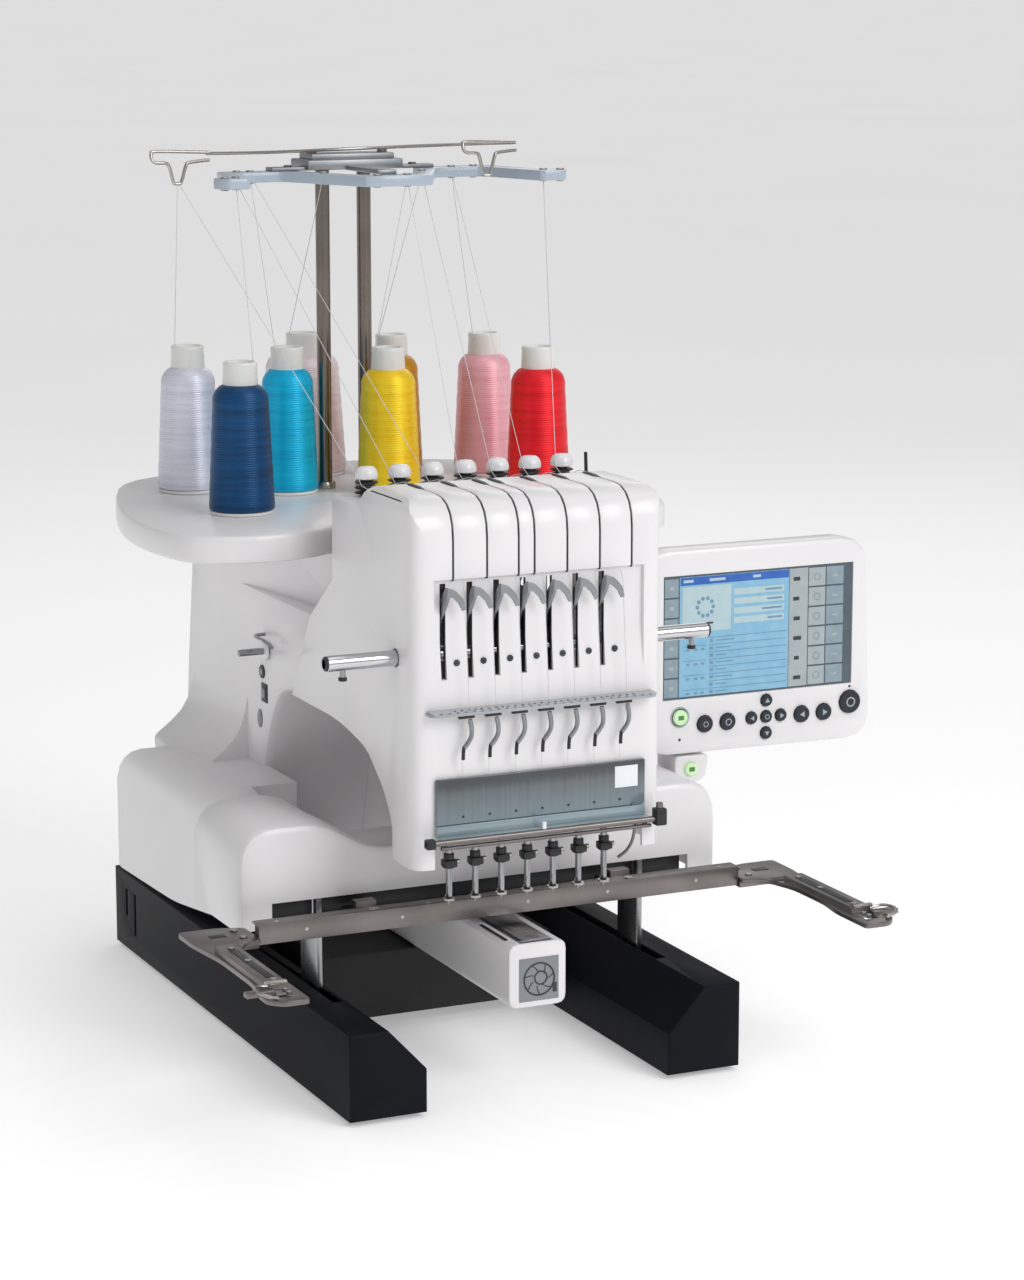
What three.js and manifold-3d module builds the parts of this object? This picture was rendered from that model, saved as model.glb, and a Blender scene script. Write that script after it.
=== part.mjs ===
// A seven-needle free-arm embroidery machine, in millimetres, +X to the machine's right, +Y to its back, +Z up.
// While it is built, X = 0 is the centre of the machine, Y = 0 the front of the feet and Z = 0 the table.
// The last lines move the group so that its origin is the bottom centre of its bounding box.
import * as THREE from "three";
import { mergeVertices } from "three/addons/utils/BufferGeometryUtils.js";
import Module from "manifold-3d";

const wasm = await Module();
wasm.setup();

// ---- Driving dimensions ----
const GAP = 0.3; // between pieces that rest on or against each other
const RUN = 1.5; // between a moving cover and a fixed one
const WALL = 3.5; // moulded covers

const FOOT_LENGTH = 590;
const FOOT_WIDTH = 68;
const FOOT_HEIGHT = 77.6;
const FOOT_OUTER_X = 178; // centre of the machine to the outside of a foot
const FOOT_FLAT = 34; // flat top of a foot, from its outer side
const FOOT_INNER_HEIGHT = 41;
const FOOT_PAD_HEIGHT = 4;

const SLOT_X = 150; // centre of a foot's slot, and of the post that runs in it
const SLOT_WIDTH = 10;
const SLOT_FLOOR = 30;
const POST_THICKNESS = 5;
const POST_LENGTH = 38;
const BEAM_TOP = 186; // cross beam between the posts

const PAN_FRONT = 228;
const PAN_BACK = 584;
const PAN_BOTTOM = 14;
const PAN_TOP = 72;
const COLUMN_FRONT = 424;
const COLUMN_BACK = 556;
const COLUMN_HALF = 58;
const ARM_HALF = 34;
const ARM_BOTTOM = 312;
const ARM_TOP = 408;

const BODY_HALF = 105; // side of the column
const BODY_FOOT = 78; // bottom edge of the covers
const TRAY_BOTTOM = 428;
const TRAY_TOP = 452;
const NECK_LEDGE = 371; // the head's flank steps in above this height
const NECK_DEPTH = 34;
const SKIRT_HALF = 178;
const SKIRT_TOP = 211;
const SKIRT_ROUND = 34;

const CASE_HALF = 112;
const CASE_FRONT = 20;
const CASE_TOP = 503;
const CASE_FOOT = 201;
const CASE_MOUTH = 222; // top of the opening that the needles leave by
const DECK_TOP = 486; // the deck under the tension knobs
const DECK_BACK = 190;

const NEEDLES = 7;
const PITCH = 23.6;
const NEEDLE_Y = 45;
const NEEDLE_TIP = 162;
const NEEDLE_STROKE = 35;
const BAR_RADIUS = 3;
const SLIT_OFFSET = -14; // a take-up slit, from its own needle
const SLIT_WIDTH = 5;
const SLIT_BOTTOM = 357;
const SLIT_TOP = 435;
const LEVER_PIVOT_Y = 40;
const LEVER_PIVOT_Z = 397;

const RAIL_Y = 57;
const RAIL_Z = 371;
const RAIL_RADIUS = 6.5;
const RAIL_HALF = 174;

const KNOB_PITCH = 30;
const KNOB_Y = 168;
const KNOB_RADIUS = 11.5;
const KNOB_HEIGHT = 25;

const FREE_ARM_HALF = 26;
const FREE_ARM_BOTTOM = 73;
const FREE_ARM_TOP = 128;
const FREE_ARM_FRONT = 24;
const FREE_ARM_ROUND = 8;
const FREE_ARM_WALL = 4;
const HOOK_CLEARANCE = 4; // around the hook, inside the free arm
const HOOK_RADIUS = FREE_ARM_HALF - FREE_ARM_WALL - HOOK_CLEARANCE;
const HOOK_RIM = 4;
const BOBBIN_CLEARANCE = 3; // between the basket's outside and its bobbin's seat

const WING_FRONT = 128;
const WING_HALF = 222;
const WING_BOTTOM = 133;
const BRIDGE_TOP = 196;
const BRIDGE_BACK = 188;
const DOME_TOP = 222;
const DOME_BACK = 246;
const DOME_INNER = 104;
const HOOD_GAP_HALF = 140; // the hood straddles the column behind its bridge
const CARRIAGE_TRAVEL = 120; // backwards, from where it stands
const WING_SLIT_HALF = 194;
const WING_SLIT_BOTTOM = 138;
const WING_SLIT_TOP = 157;

const BAR_FRONT = 86;
const BAR_DEPTH = 9;
const BAR_BOTTOM = 136;
const BAR_TOP = 153;
const LUG_X = 118;
const HOOP_ARM_X = 262; // middle of an arm that a hoop clips to
const HOOP_ARM_WIDTH = 32;
const HOOP_ARM_TIP = -90;
const HOOP_ARM_BACK = WING_FRONT - 2;
const HOOP_ARM_Z = 139;

const POLE_X = 20;
const POLE_Y = 435;
const POLE_RADIUS = 6.5;
const GUIDE_Z = 736;
const GUIDE_THICKNESS = 5;
const WIRE_RADIUS = 1.6;
const STAND_TOP = 770;

const PANEL_LEFT = 186;
const PANEL_RIGHT = 420;
const PANEL_BOTTOM = 228;
const PANEL_TOP = 413;
const PANEL_FRONT = 200;
const PANEL_DEPTH = 26;
const PANEL_ROUND = 26;
const TILT_Y = 246; // the axle that the panel tilts on runs along X
const TILT_Z = 300;
const TILT_RADIUS = 5;
const TILT_CENTRE_X = 252;
const KEY_TRAVEL = 1.5;
const KEY_PROUD = 3;

const CONE_BASE = 31;
const CONE_SHOULDER = 24.5;
const CONE_HEIGHT = 113;
const CAP_HEIGHT = 19;
const PIN_RADIUS = 3;

// ---- Finishes ----
const finish = (color, roughness, metalness = 0) =>
  new THREE.MeshStandardMaterial({ color, roughness, metalness });
const WHITE = finish("#eceaeb", 0.45);
const NAVY = finish("#20232e", 0.5);
const BLACK = finish("#17181b", 0.6);
const NICKEL = finish("#a39c98", 0.35, 1);
const CHROME = finish("#cfd0d2", 0.15, 1);
const STEEL = finish("#8f9091", 0.4, 1);
const GREY = finish("#8e9296", 0.5);
const KEY = finish("#2b3038", 0.5);
const GLOW = finish("#a9d99a", 0.4);

// ---- Solids ----
// A closed three.js geometry as a solid that can be joined and cut.
function solid(geometry) {
  const bare = geometry.index ? geometry.toNonIndexed() : geometry.clone();
  bare.deleteAttribute("normal");
  bare.deleteAttribute("uv");
  const merged = mergeVertices(bare, 1e-4);
  return new wasm.Manifold(
    new wasm.Mesh({
      numProp: 3,
      vertProperties: new Float32Array(merged.attributes.position.array),
      triVerts: new Uint32Array(merged.index.array),
    }),
  );
}

const join = (...solids) => solids.reduce((a, b) => a.add(b));
const cut = (whole, ...tools) => tools.reduce((a, b) => a.subtract(b), whole);

function part(name, made, material) {
  const { numProp, numVert, vertProperties, triVerts } = made.getMesh();
  const position = new Float32Array(numVert * 3);
  for (let i = 0; i < numVert; i++) {
    position.set(vertProperties.subarray(i * numProp, i * numProp + 3), i * 3);
  }
  const geometry = new THREE.BufferGeometry();
  geometry.setAttribute("position", new THREE.BufferAttribute(position, 3));
  geometry.setIndex(new THREE.BufferAttribute(triVerts, 1));
  geometry.computeVertexNormals();
  const mesh = new THREE.Mesh(geometry, material);
  mesh.name = name;
  return mesh;
}

function block(x0, x1, y0, y1, z0, z1) {
  const geometry = new THREE.BoxGeometry(x1 - x0, y1 - y0, z1 - z0);
  return solid(geometry.translate((x0 + x1) / 2, (y0 + y1) / 2, (z0 + z1) / 2));
}

// A closed outline from points [a, b] or [a, b, radius]. A radius rounds the corner, as far as
// the lines on its two sides are long enough for it.
function outline(points) {
  const shape = new THREE.Shape();
  points.forEach(([a, b, radius = 0], i) => {
    const corner = new THREE.Vector2(a, b);
    const before = new THREE.Vector2(...points.at(i - 1).slice(0, 2)).sub(corner);
    const after = new THREE.Vector2(...points[(i + 1) % points.length].slice(0, 2)).sub(corner);
    const reach = Math.min(radius, 0.48 * before.length(), 0.48 * after.length());
    const start = corner.clone().add(before.setLength(reach));
    const end = corner.clone().add(after.setLength(reach));
    if (i === 0) shape.moveTo(start.x, start.y);
    else shape.lineTo(start.x, start.y);
    if (reach > 0) shape.quadraticCurveTo(a, b, end.x, end.y);
  });
  shape.closePath();
  return shape;
}

// An outline drawn out over a length; round is the radius of the edges at both ends.
function drawnOut(shape, length, round, curveSegments) {
  return new THREE.ExtrudeGeometry(shape, {
    depth: length - 2 * round,
    steps: 1,
    curveSegments,
    bevelEnabled: round > 0,
    bevelThickness: round,
    bevelSize: round,
    bevelOffset: -round,
    bevelSegments: 2,
  }).translate(0, 0, round);
}

// The outline lies in Y and Z, and runs along X.
function alongX(points, x0, x1, round = 0, curveSegments = 3) {
  const turn = new THREE.Matrix4().makeBasis(
    new THREE.Vector3(0, 1, 0),
    new THREE.Vector3(0, 0, 1),
    new THREE.Vector3(1, 0, 0),
  );
  const geometry = drawnOut(outline(points), x1 - x0, round, curveSegments);
  return solid(geometry.applyMatrix4(turn).translate(x0, 0, 0));
}

// The outline lies in X and Z, and runs along Y.
function alongY(points, y0, y1, round = 0, curveSegments = 3) {
  const geometry = drawnOut(outline(points), y1 - y0, round, curveSegments);
  return solid(geometry.rotateX(Math.PI / 2).translate(0, y1, 0));
}

// The outline lies in X and Y, and runs along Z.
function alongZ(points, z0, z1, round = 0, curveSegments = 3) {
  const geometry = drawnOut(outline(points), z1 - z0, round, curveSegments);
  return solid(geometry.translate(0, 0, z0));
}

function rod(radius, from, to, sides = 12, endRadius = radius) {
  const a = new THREE.Vector3(...from);
  const b = new THREE.Vector3(...to);
  const along = b.clone().sub(a);
  const geometry = new THREE.CylinderGeometry(endRadius, radius, along.length(), sides);
  const up = new THREE.Vector3(0, 1, 0);
  const turn = new THREE.Quaternion().setFromUnitVectors(up, along.clone().normalize());
  geometry.applyQuaternion(turn);
  const middle = a.add(b).multiplyScalar(0.5);
  return solid(geometry.translate(middle.x, middle.y, middle.z));
}

// A round section along a smooth curve through the points.
function wire(radius, points, steps = 12, sides = 6) {
  const section = new THREE.Shape();
  for (let i = 0; i < sides; i++) {
    const angle = (2 * Math.PI * i) / sides;
    const x = radius * Math.cos(angle);
    const y = radius * Math.sin(angle);
    if (i === 0) section.moveTo(x, y);
    else section.lineTo(x, y);
  }
  section.closePath();
  const path = new THREE.CatmullRomCurve3(points.map((p) => new THREE.Vector3(...p)));
  return solid(new THREE.ExtrudeGeometry(section, { steps, extrudePath: path }));
}

// A profile of [radius, height] points turned about a vertical axis at x, y.
function turned(profile, x, y, sides = 16) {
  const points = profile.map(([r, z]) => new THREE.Vector2(r, z));
  const geometry = new THREE.LatheGeometry(points, sides);
  return solid(geometry.rotateX(Math.PI / 2).translate(x, y, 0));
}

const mirrorX = (points) => points.map(([x, z, r]) => [-x, z, r]).reverse();
const needleX = (i) => (i - (NEEDLES - 1) / 2) * PITCH;
const sides = [
  ["left", -1],
  ["right", 1],
];

const machine = new THREE.Group();
const add = (name, made, material) => machine.add(part(name, made, material));

// A block that may be given either way round, for left and right copies.
function sideBlock(side, x0, x1, y0, y1, z0, z1) {
  const [low, high] = [side * x0, side * x1].sort((a, b) => a - b);
  return block(low, high, y0, y1, z0, z1);
}

// ---- Feet ----
const SLOT_FRONT = 92;
const SLOT_BACK = 330;

function foot(side) {
  const inner = FOOT_OUTER_X - FOOT_WIDTH;
  const section = [
    [FOOT_OUTER_X, FOOT_PAD_HEIGHT],
    [FOOT_OUTER_X, FOOT_HEIGHT],
    [FOOT_OUTER_X - FOOT_FLAT, FOOT_HEIGHT],
    [inner, FOOT_INNER_HEIGHT],
    [inner, FOOT_PAD_HEIGHT],
  ];
  const beam = alongY(side > 0 ? section.reverse() : mirrorX(section).reverse(), 0, FOOT_LENGTH, 2);
  const half = SLOT_WIDTH / 2;
  const slot = sideBlock(
    side, SLOT_X - half, SLOT_X + half, SLOT_FRONT, SLOT_BACK, SLOT_FLOOR, FOOT_HEIGHT + 1,
  );
  const padX = side * (FOOT_OUTER_X - FOOT_WIDTH / 2);
  const pads = [40, FOOT_LENGTH - 40].map((y) =>
    rod(16, [padX, y, 0], [padX, y, FOOT_PAD_HEIGHT + 1], 16),
  );
  const vents = [0, 1].map((i) => {
    const y = FOOT_LENGTH - 60 + 24 * i;
    return sideBlock(side, FOOT_OUTER_X - 3, FOOT_OUTER_X + 1, y, y + 5, 22 + 14 * i, 62);
  });
  return cut(join(beam, ...pads), slot, ...vents);
}

sides.forEach(([name, side]) => add(`${name}_foot`, foot(side), NAVY));

// ---- Machine frame: base pan, column and head arm in one casting ----
function machineFrame() {
  const panHalf = FOOT_OUTER_X - FOOT_WIDTH - GAP;
  const pan = block(-panHalf, panHalf, PAN_FRONT, PAN_BACK, PAN_BOTTOM, PAN_TOP);
  const column = block(
    -COLUMN_HALF, COLUMN_HALF, COLUMN_FRONT, COLUMN_BACK, PAN_TOP - 1, ARM_TOP,
  );
  const arm = block(-ARM_HALF, ARM_HALF, RAIL_Y + 9, COLUMN_FRONT + 1, ARM_BOTTOM, ARM_TOP);
  const nose = block(
    -ARM_HALF, ARM_HALF, RAIL_Y - 6.3, RAIL_Y + 10, RAIL_Z - 16, RAIL_Z + 16,
  );
  const bore = rod(
    RAIL_RADIUS + GAP, [-ARM_HALF - 1, RAIL_Y, RAIL_Z], [ARM_HALF + 1, RAIL_Y, RAIL_Z], 16,
  );
  return cut(join(pan, column, arm, nose), bore);
}

add("machine_frame", machineFrame(), BLACK);

// ---- Rail that the needle case runs on ----
const rail = rod(RAIL_RADIUS, [-RAIL_HALF, RAIL_Y, RAIL_Z], [RAIL_HALF, RAIL_Y, RAIL_Z], 16);
add("case_rail", rail, CHROME);

// ---- Column and head covers: two half shells that meet in the middle ----
// The seam runs down the back of the needle case; both sides of it use these points.
const SEAM = [
  [DECK_BACK + 2, TRAY_BOTTOM - GAP],
  [DECK_BACK + 2, 413],
  [244, 373],
  [288, 296],
];
const ARCH_BACK = [
  [340, 286, 14],
  [362, 258, 14],
  [384, 205, 14],
  [402, 138, 10],
  [404, BODY_FOOT],
];
const BACK_EDGE = [
  [600, BODY_FOOT],
  [594, 190],
  [583, 277],
  [569, 366],
  [560, TRAY_BOTTOM - GAP],
];

// The rounded fender beside the column: its side, front and plan outlines meet in one solid.
function skirt() {
  const inner = BODY_HALF - 6;
  const flank = alongX(
    [
      [604, BODY_FOOT + 1],
      [604, 128, 40],
      [556, SKIRT_TOP - 10, 60],
      [470, SKIRT_TOP, 30],
      [264, SKIRT_TOP, 60],
      [262, 104, 10],
      [420, BODY_FOOT + 6, 30],
    ],
    inner, SKIRT_HALF, 0, 5,
  );
  const section = alongY(
    [
      [inner, 0],
      [SKIRT_HALF, 0],
      [SKIRT_HALF, SKIRT_TOP + 1, SKIRT_ROUND],
      [inner, SKIRT_TOP + 1],
    ],
    200, 700, 0, 6,
  );
  const plan = alongZ(
    [
      [inner, 250],
      [SKIRT_HALF, 250, 12],
      [SKIRT_HALF, 606, SKIRT_ROUND + 8],
      [inner, 606],
    ],
    0, 300, 0, 6,
  );
  return flank.intersect(section).intersect(plan);
}

function sideCover(side) {
  const seam = SEAM.map(([y, z]) => [y + RUN, z]);
  const profile = [...BACK_EDGE, ...seam, ...ARCH_BACK];
  const flank = alongX(profile, -BODY_HALF, BODY_HALF, 9);
  const half = block(GAP / 2, BODY_HALF + 1, 0, 700, 0, 500);
  const neck = alongZ(
    [
      [BODY_HALF + 1, 440],
      [BODY_HALF - NECK_DEPTH, DECK_BACK - 4],
      [BODY_HALF + 1, DECK_BACK - 4],
    ],
    NECK_LEDGE, TRAY_BOTTOM + 1,
  );
  const skirtSide = skirt();
  const flare = alongY(
    [
      [BODY_HALF - 6, SKIRT_TOP - 30],
      [SKIRT_HALF - SKIRT_ROUND, SKIRT_TOP - 30],
      [SKIRT_HALF - SKIRT_ROUND + 2, SKIRT_TOP - 4, 4],
      [BODY_HALF + 7, SKIRT_TOP + 22, 20],
      [BODY_HALF - 6, SKIRT_TOP + 88],
    ].reverse(),
    DOME_BACK + 172, 560,
  );
  const outer = cut(join(flank.intersect(half), skirtSide, flare), neck);
  // Room inside for the frame, open downwards and to the other half.
  const columnRoom = block(-1, BODY_HALF - WALL, ARCH_BACK[4][0] + WALL, 552, 0, 330);
  const lowerRoom = block(-1, SKIRT_HALF - 40, 424, 552, 0, 150);
  const postBack = WING_FRONT + WALL + 2 + POST_LENGTH;
  const postRoom = block(
    BODY_HALF - 7, SLOT_X + 10, 250, postBack + CARRIAGE_TRAVEL + 5, 0, BEAM_TOP + 4,
  );
  const bridgeRoom = block(
    BODY_HALF - 7, HOOD_GAP_HALF + 2, 250, BRIDGE_BACK + CARRIAGE_TRAVEL + 5, 0, SKIRT_TOP + 1,
  );
  const frameRoom = block(-1, COLUMN_HALF + 4, COLUMN_FRONT - 8, COLUMN_BACK + 6, 0, ARM_TOP + 8);
  const armRoom = block(-1, ARM_HALF + 2, 0, COLUMN_FRONT, ARM_BOTTOM - 4, ARM_TOP + 6);
  const freeArmRoom = block(
    -1, FREE_ARM_HALF + GAP, 0, COLUMN_FRONT, FREE_ARM_BOTTOM - 1, FREE_ARM_TOP + GAP,
  );
  const made = cut(outer, columnRoom, lowerRoom, postRoom, bridgeRoom, frameRoom, armRoom, freeArmRoom);
  return side > 0 ? made : made.mirror([1, 0, 0]);
}

const winderHole = rod(6, [-BODY_HALF - 1, 366, 320], [-BODY_HALF + 14, 366, 320], 16);
add("left_side_cover", cut(sideCover(-1), winderHole), WHITE);
const inletPocket = block(40, 72, 570, 640, 110, 134);
add("right_side_cover", cut(sideCover(1), inletPocket), WHITE);

// ---- Bobbin winder spindle on the left flank ----
const winder = join(
  rod(3.2, [-BODY_HALF - 28, 366, 320], [-BODY_HALF + 12, 366, 320], 12),
  rod(8.5, [-BODY_HALF - 4, 366, 320], [-BODY_HALF - 1.2, 366, 320], 20),
);
add("bobbin_winder", winder, STEEL);

// ---- Free arm, hook and needle plate ----
function roundedSection(half, bottom, top, radius) {
  return [
    [-half, bottom, radius],
    [half, bottom, radius],
    [half, top, radius],
    [-half, top, radius],
  ];
}

const COVER_THICKNESS = 3;
const HOOK_ROOM_BACK = 84;
const PLATE_HALF = 15;
const PLATE_THICKNESS = 2.4;
const PLATE_BACK = 150;

function freeArm() {
  const section = roundedSection(FREE_ARM_HALF, FREE_ARM_BOTTOM, FREE_ARM_TOP, FREE_ARM_ROUND);
  const beam = alongY(section, FREE_ARM_FRONT + COVER_THICKNESS + GAP, COLUMN_FRONT - GAP);
  const inner = FREE_ARM_HALF - FREE_ARM_WALL;
  const room = block(
    -inner, inner, 0, HOOK_ROOM_BACK, FREE_ARM_BOTTOM + FREE_ARM_WALL, FREE_ARM_TOP - 6,
  );
  const seat = block(
    -PLATE_HALF - GAP, PLATE_HALF + GAP, 0, PLATE_BACK + GAP,
    FREE_ARM_TOP - PLATE_THICKNESS, FREE_ARM_TOP + 1,
  );
  const needleWell = block(-5, 5, NEEDLE_Y - 5, NEEDLE_Y + 5, FREE_ARM_TOP - 8, FREE_ARM_TOP);
  return cut(beam, room, seat, needleWell);
}

function needlePlate() {
  const plate = block(
    -PLATE_HALF, PLATE_HALF, FREE_ARM_FRONT + COVER_THICKNESS + 4, PLATE_BACK,
    FREE_ARM_TOP - PLATE_THICKNESS + GAP, FREE_ARM_TOP + 0.4,
  );
  const hole = rod(
    1.8, [0, NEEDLE_Y, FREE_ARM_TOP - 5], [0, NEEDLE_Y, FREE_ARM_TOP + 2], 12,
  );
  return cut(plate, hole);
}

function rotaryHook() {
  const z = (FREE_ARM_BOTTOM + FREE_ARM_TOP) / 2 - 1.5;
  const drum = rod(HOOK_RADIUS, [0, 34, z], [0, NEEDLE_Y - 3, z], 24);
  const basketRadius = HOOK_RADIUS - HOOK_RIM;
  const basket = rod(basketRadius, [0, NEEDLE_Y - 4, z], [0, NEEDLE_Y + 12, z], 24);
  const shaft = rod(4, [0, NEEDLE_Y + 11, z], [0, HOOK_ROOM_BACK - 1, z], 12);
  const bobbinSeat = rod(basketRadius - BOBBIN_CLEARANCE, [0, 30, z], [0, NEEDLE_Y - 2, z], 20);
  return cut(join(drum, basket, shaft), bobbinSeat);
}

function hookCover() {
  const section = roundedSection(FREE_ARM_HALF, FREE_ARM_BOTTOM, FREE_ARM_TOP, FREE_ARM_ROUND);
  return alongY(section, FREE_ARM_FRONT, FREE_ARM_FRONT + COVER_THICKNESS, 1);
}

add("free_arm", freeArm(), WHITE);
add("needle_plate", needlePlate(), STEEL);
add("rotary_hook", rotaryHook(), STEEL);
add("hook_cover", hookCover(), WHITE);

// ---- Needle case: the moving front of the head ----
const CASE_LOWER_EDGE = [
  [288, 296],
  [179, 295, 30],
  [119, 283, 14],
  [81, 254, 14],
  [66, 231, 8],
  [66, CASE_FOOT],
  [CASE_FRONT, CASE_FOOT],
];
const CASE_UPPER_EDGE = [
  [CASE_FRONT, CASE_TOP, 34],
  [118, CASE_TOP, 6],
  [134, DECK_TOP, 6],
  [DECK_BACK, DECK_TOP, 6],
];
const GROOVE_WIDTH = 2;
const GROOVE_DEPTH = 2.5;
const GROOVES = [-77, -47.2, -19.2, -5.1, 24.2, 53.6, 82.6];
const RECESS_HALF = 94;
const RECESS_DEPTH = 4;
const RECESS_TOP = SLIT_TOP + 3.5;
const RECESS_BOTTOM = 345;

function needleCase() {
  const seam = SEAM.slice(1, 3);
  const profile = [...CASE_LOWER_EDGE, ...CASE_UPPER_EDGE, ...seam].reverse();
  const flank = alongX(profile, -CASE_HALF, CASE_HALF, 0, 5);
  const front = alongY(
    [
      [-CASE_HALF, 190],
      [CASE_HALF, 190],
      [CASE_HALF, CASE_TOP + 1, 16],
      [-CASE_HALF, CASE_TOP + 1, 16],
    ],
    0, 300, 0, 3,
  );
  const plan = alongZ(
    [
      [-CASE_HALF, CASE_FRONT, 14],
      [CASE_HALF, CASE_FRONT, 14],
      [CASE_HALF, 300],
      [-CASE_HALF, 300],
    ],
    180, 520, 0, 4,
  );
  const outer = flank.intersect(front).intersect(plan);
  const inner = alongX(
    [
      [300, 200],
      [300, 450],
      [DECK_BACK + 10, TRAY_BOTTOM],
      [DECK_BACK - WALL, DECK_TOP - WALL, 6],
      [134, DECK_TOP - WALL, 6],
      [118, CASE_TOP - WALL, 6],
      [CASE_FRONT + WALL, CASE_TOP - WALL, 32],
      [CASE_FRONT + WALL, 190],
      [62, 190],
    ],
    -CASE_HALF, CASE_HALF, 0, 5,
  );
  const inside = alongZ(
    [
      [-CASE_HALF + WALL, CASE_FRONT + WALL - 0.5, 10],
      [CASE_HALF - WALL, CASE_FRONT + WALL - 0.5, 10],
      [CASE_HALF - WALL, 310],
      [-CASE_HALF + WALL, 310],
    ],
    170, 530, 0, 4,
  );
  const mouth = block(-RECESS_HALF, RECESS_HALF, 0, CASE_FRONT + WALL + 1, 190, CASE_MOUTH);
  const recess = alongX(
    [
      [CASE_FRONT - 1, RECESS_BOTTOM],
      [CASE_FRONT - 1, RECESS_TOP],
      [CASE_FRONT + RECESS_DEPTH, RECESS_TOP],
      [CASE_FRONT + RECESS_DEPTH, SLIT_BOTTOM + 30],
    ].reverse(),
    -RECESS_HALF, RECESS_HALF,
  );
  const recessBack = block(
    -RECESS_HALF - 4, RECESS_HALF + 4, CASE_FRONT + 1, CASE_FRONT + RECESS_DEPTH + WALL - 1,
    RECESS_BOTTOM, RECESS_TOP + 4,
  );
  const slits = [...Array(NEEDLES).keys()].map((i) => {
    const x = needleX(i) + SLIT_OFFSET;
    return block(x - SLIT_WIDTH / 2, x + SLIT_WIDTH / 2, 0, 34, SLIT_BOTTOM, SLIT_TOP);
  });
  const skin = [
    [CASE_FRONT - 2, RECESS_TOP - 2],
    [CASE_FRONT - 2, CASE_TOP + 2, 36],
    [108, CASE_TOP + 2],
    [108, CASE_TOP - GROOVE_DEPTH],
    [CASE_FRONT + GROOVE_DEPTH, CASE_TOP - GROOVE_DEPTH, 32],
    [CASE_FRONT + GROOVE_DEPTH, RECESS_TOP - 2],
  ].reverse();
  const grooves = GROOVES.map((x) => alongX(skin, x - GROOVE_WIDTH / 2, x + GROOVE_WIDTH / 2, 0, 5));
  const railRun = RAIL_RADIUS + RUN;
  const railHole = rod(
    railRun, [-CASE_HALF - 1, RAIL_Y, RAIL_Z], [CASE_HALF + 1, RAIL_Y, RAIL_Z], 16,
  );
  const hollow = cut(outer, inner.intersect(inside));
  const backed = join(hollow, recessBack.intersect(outer));
  return cut(backed, mouth, recess, ...slits, ...grooves, railHole);
}

add("needle_case", needleCase(), WHITE);

// ---- Pieces on the front of the needle case ----
const SHIELD_HALF = 94;
const SHIELD_BOTTOM = 229;
const SHIELD_TOP = 276;

function threadHolder() {
  const shield = alongY(
    roundedSection(SHIELD_HALF, SHIELD_BOTTOM, SHIELD_TOP, 1.5),
    CASE_FRONT - 4.5, CASE_FRONT - GAP, 0, 2,
  );
  const shelf = block(-SHIELD_HALF, SHIELD_HALF, 6, CASE_FRONT - 1, SHIELD_BOTTOM - 3, SHIELD_BOTTOM + 2);
  const bar = rod(2.6, [-SHIELD_HALF - 14, 6, 226.5], [SHIELD_HALF + 12, 6, 226.5], 10);
  const lowBar = rod(1.8, [-SHIELD_HALF + 2, 12, 220], [SHIELD_HALF + 4, 12, 220], 8);
  const link = block(-SHIELD_HALF + 2, -SHIELD_HALF + 6, 10.5, 13.5, 218.5, 228);
  const farLink = block(SHIELD_HALF - 6, SHIELD_HALF - 2, 10.5, 13.5, 218.5, 228);
  const clamp = block(SHIELD_HALF + 4, SHIELD_HALF + 14, 1, 12, 220.5, 236);
  return join(shield, shelf, bar, lowBar, link, farLink, clamp);
}

function upperThreadGuide() {
  const strip = alongZ(
    [
      [-102, CASE_FRONT - GAP],
      [-102, 11, 3],
      [-94, 6, 3],
      [94, 6, 3],
      [102, 11, 3],
      [102, CASE_FRONT - GAP],
    ],
    327, 332, 0, 2,
  );
  const hooks = [...Array(NEEDLES).keys()].map((i) => {
    const x = needleX(i);
    return join(
      block(x - 6, x + 8, 9, 13, 322, 328),
      wire(1.6, [[x + 4, 11, 324], [x + 5.5, 11, 312], [x + 1, 11, 304], [x - 2, 11, 292]], 4, 4),
    );
  });
  return join(strip, ...hooks);
}

add("thread_holder", threadHolder(), GREY);
add("upper_thread_guide", upperThreadGuide(), NICKEL);

// ---- Needle bars, take-up levers and tension knobs ----
function needleBar(x) {
  const bar = rod(BAR_RADIUS, [x, NEEDLE_Y, 196], [x, NEEDLE_Y, 338], 8);
  const clamp = block(x - 6, x + 6, NEEDLE_Y - 6, NEEDLE_Y + 5, 194, 207);
  const screw = rod(2, [x + 5, NEEDLE_Y, 200], [x + 9.5, NEEDLE_Y, 200], 6);
  const shank = rod(1.9, [x, NEEDLE_Y, 178], [x, NEEDLE_Y, 196], 6);
  const needle = rod(0.5, [x, NEEDLE_Y, NEEDLE_TIP], [x, NEEDLE_Y, 179], 6, 1);
  const footBar = block(x - 1, x + 4.6, NEEDLE_Y + 2.6, NEEDLE_Y + 5, 168, 198);
  const sole = cut(
    rod(5, [x, NEEDLE_Y, 167], [x, NEEDLE_Y, 169], 10),
    rod(2.6, [x, NEEDLE_Y, 166], [x, NEEDLE_Y, 170], 8),
  );
  return join(bar, clamp, screw, shank, needle, footBar, sole);
}

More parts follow.
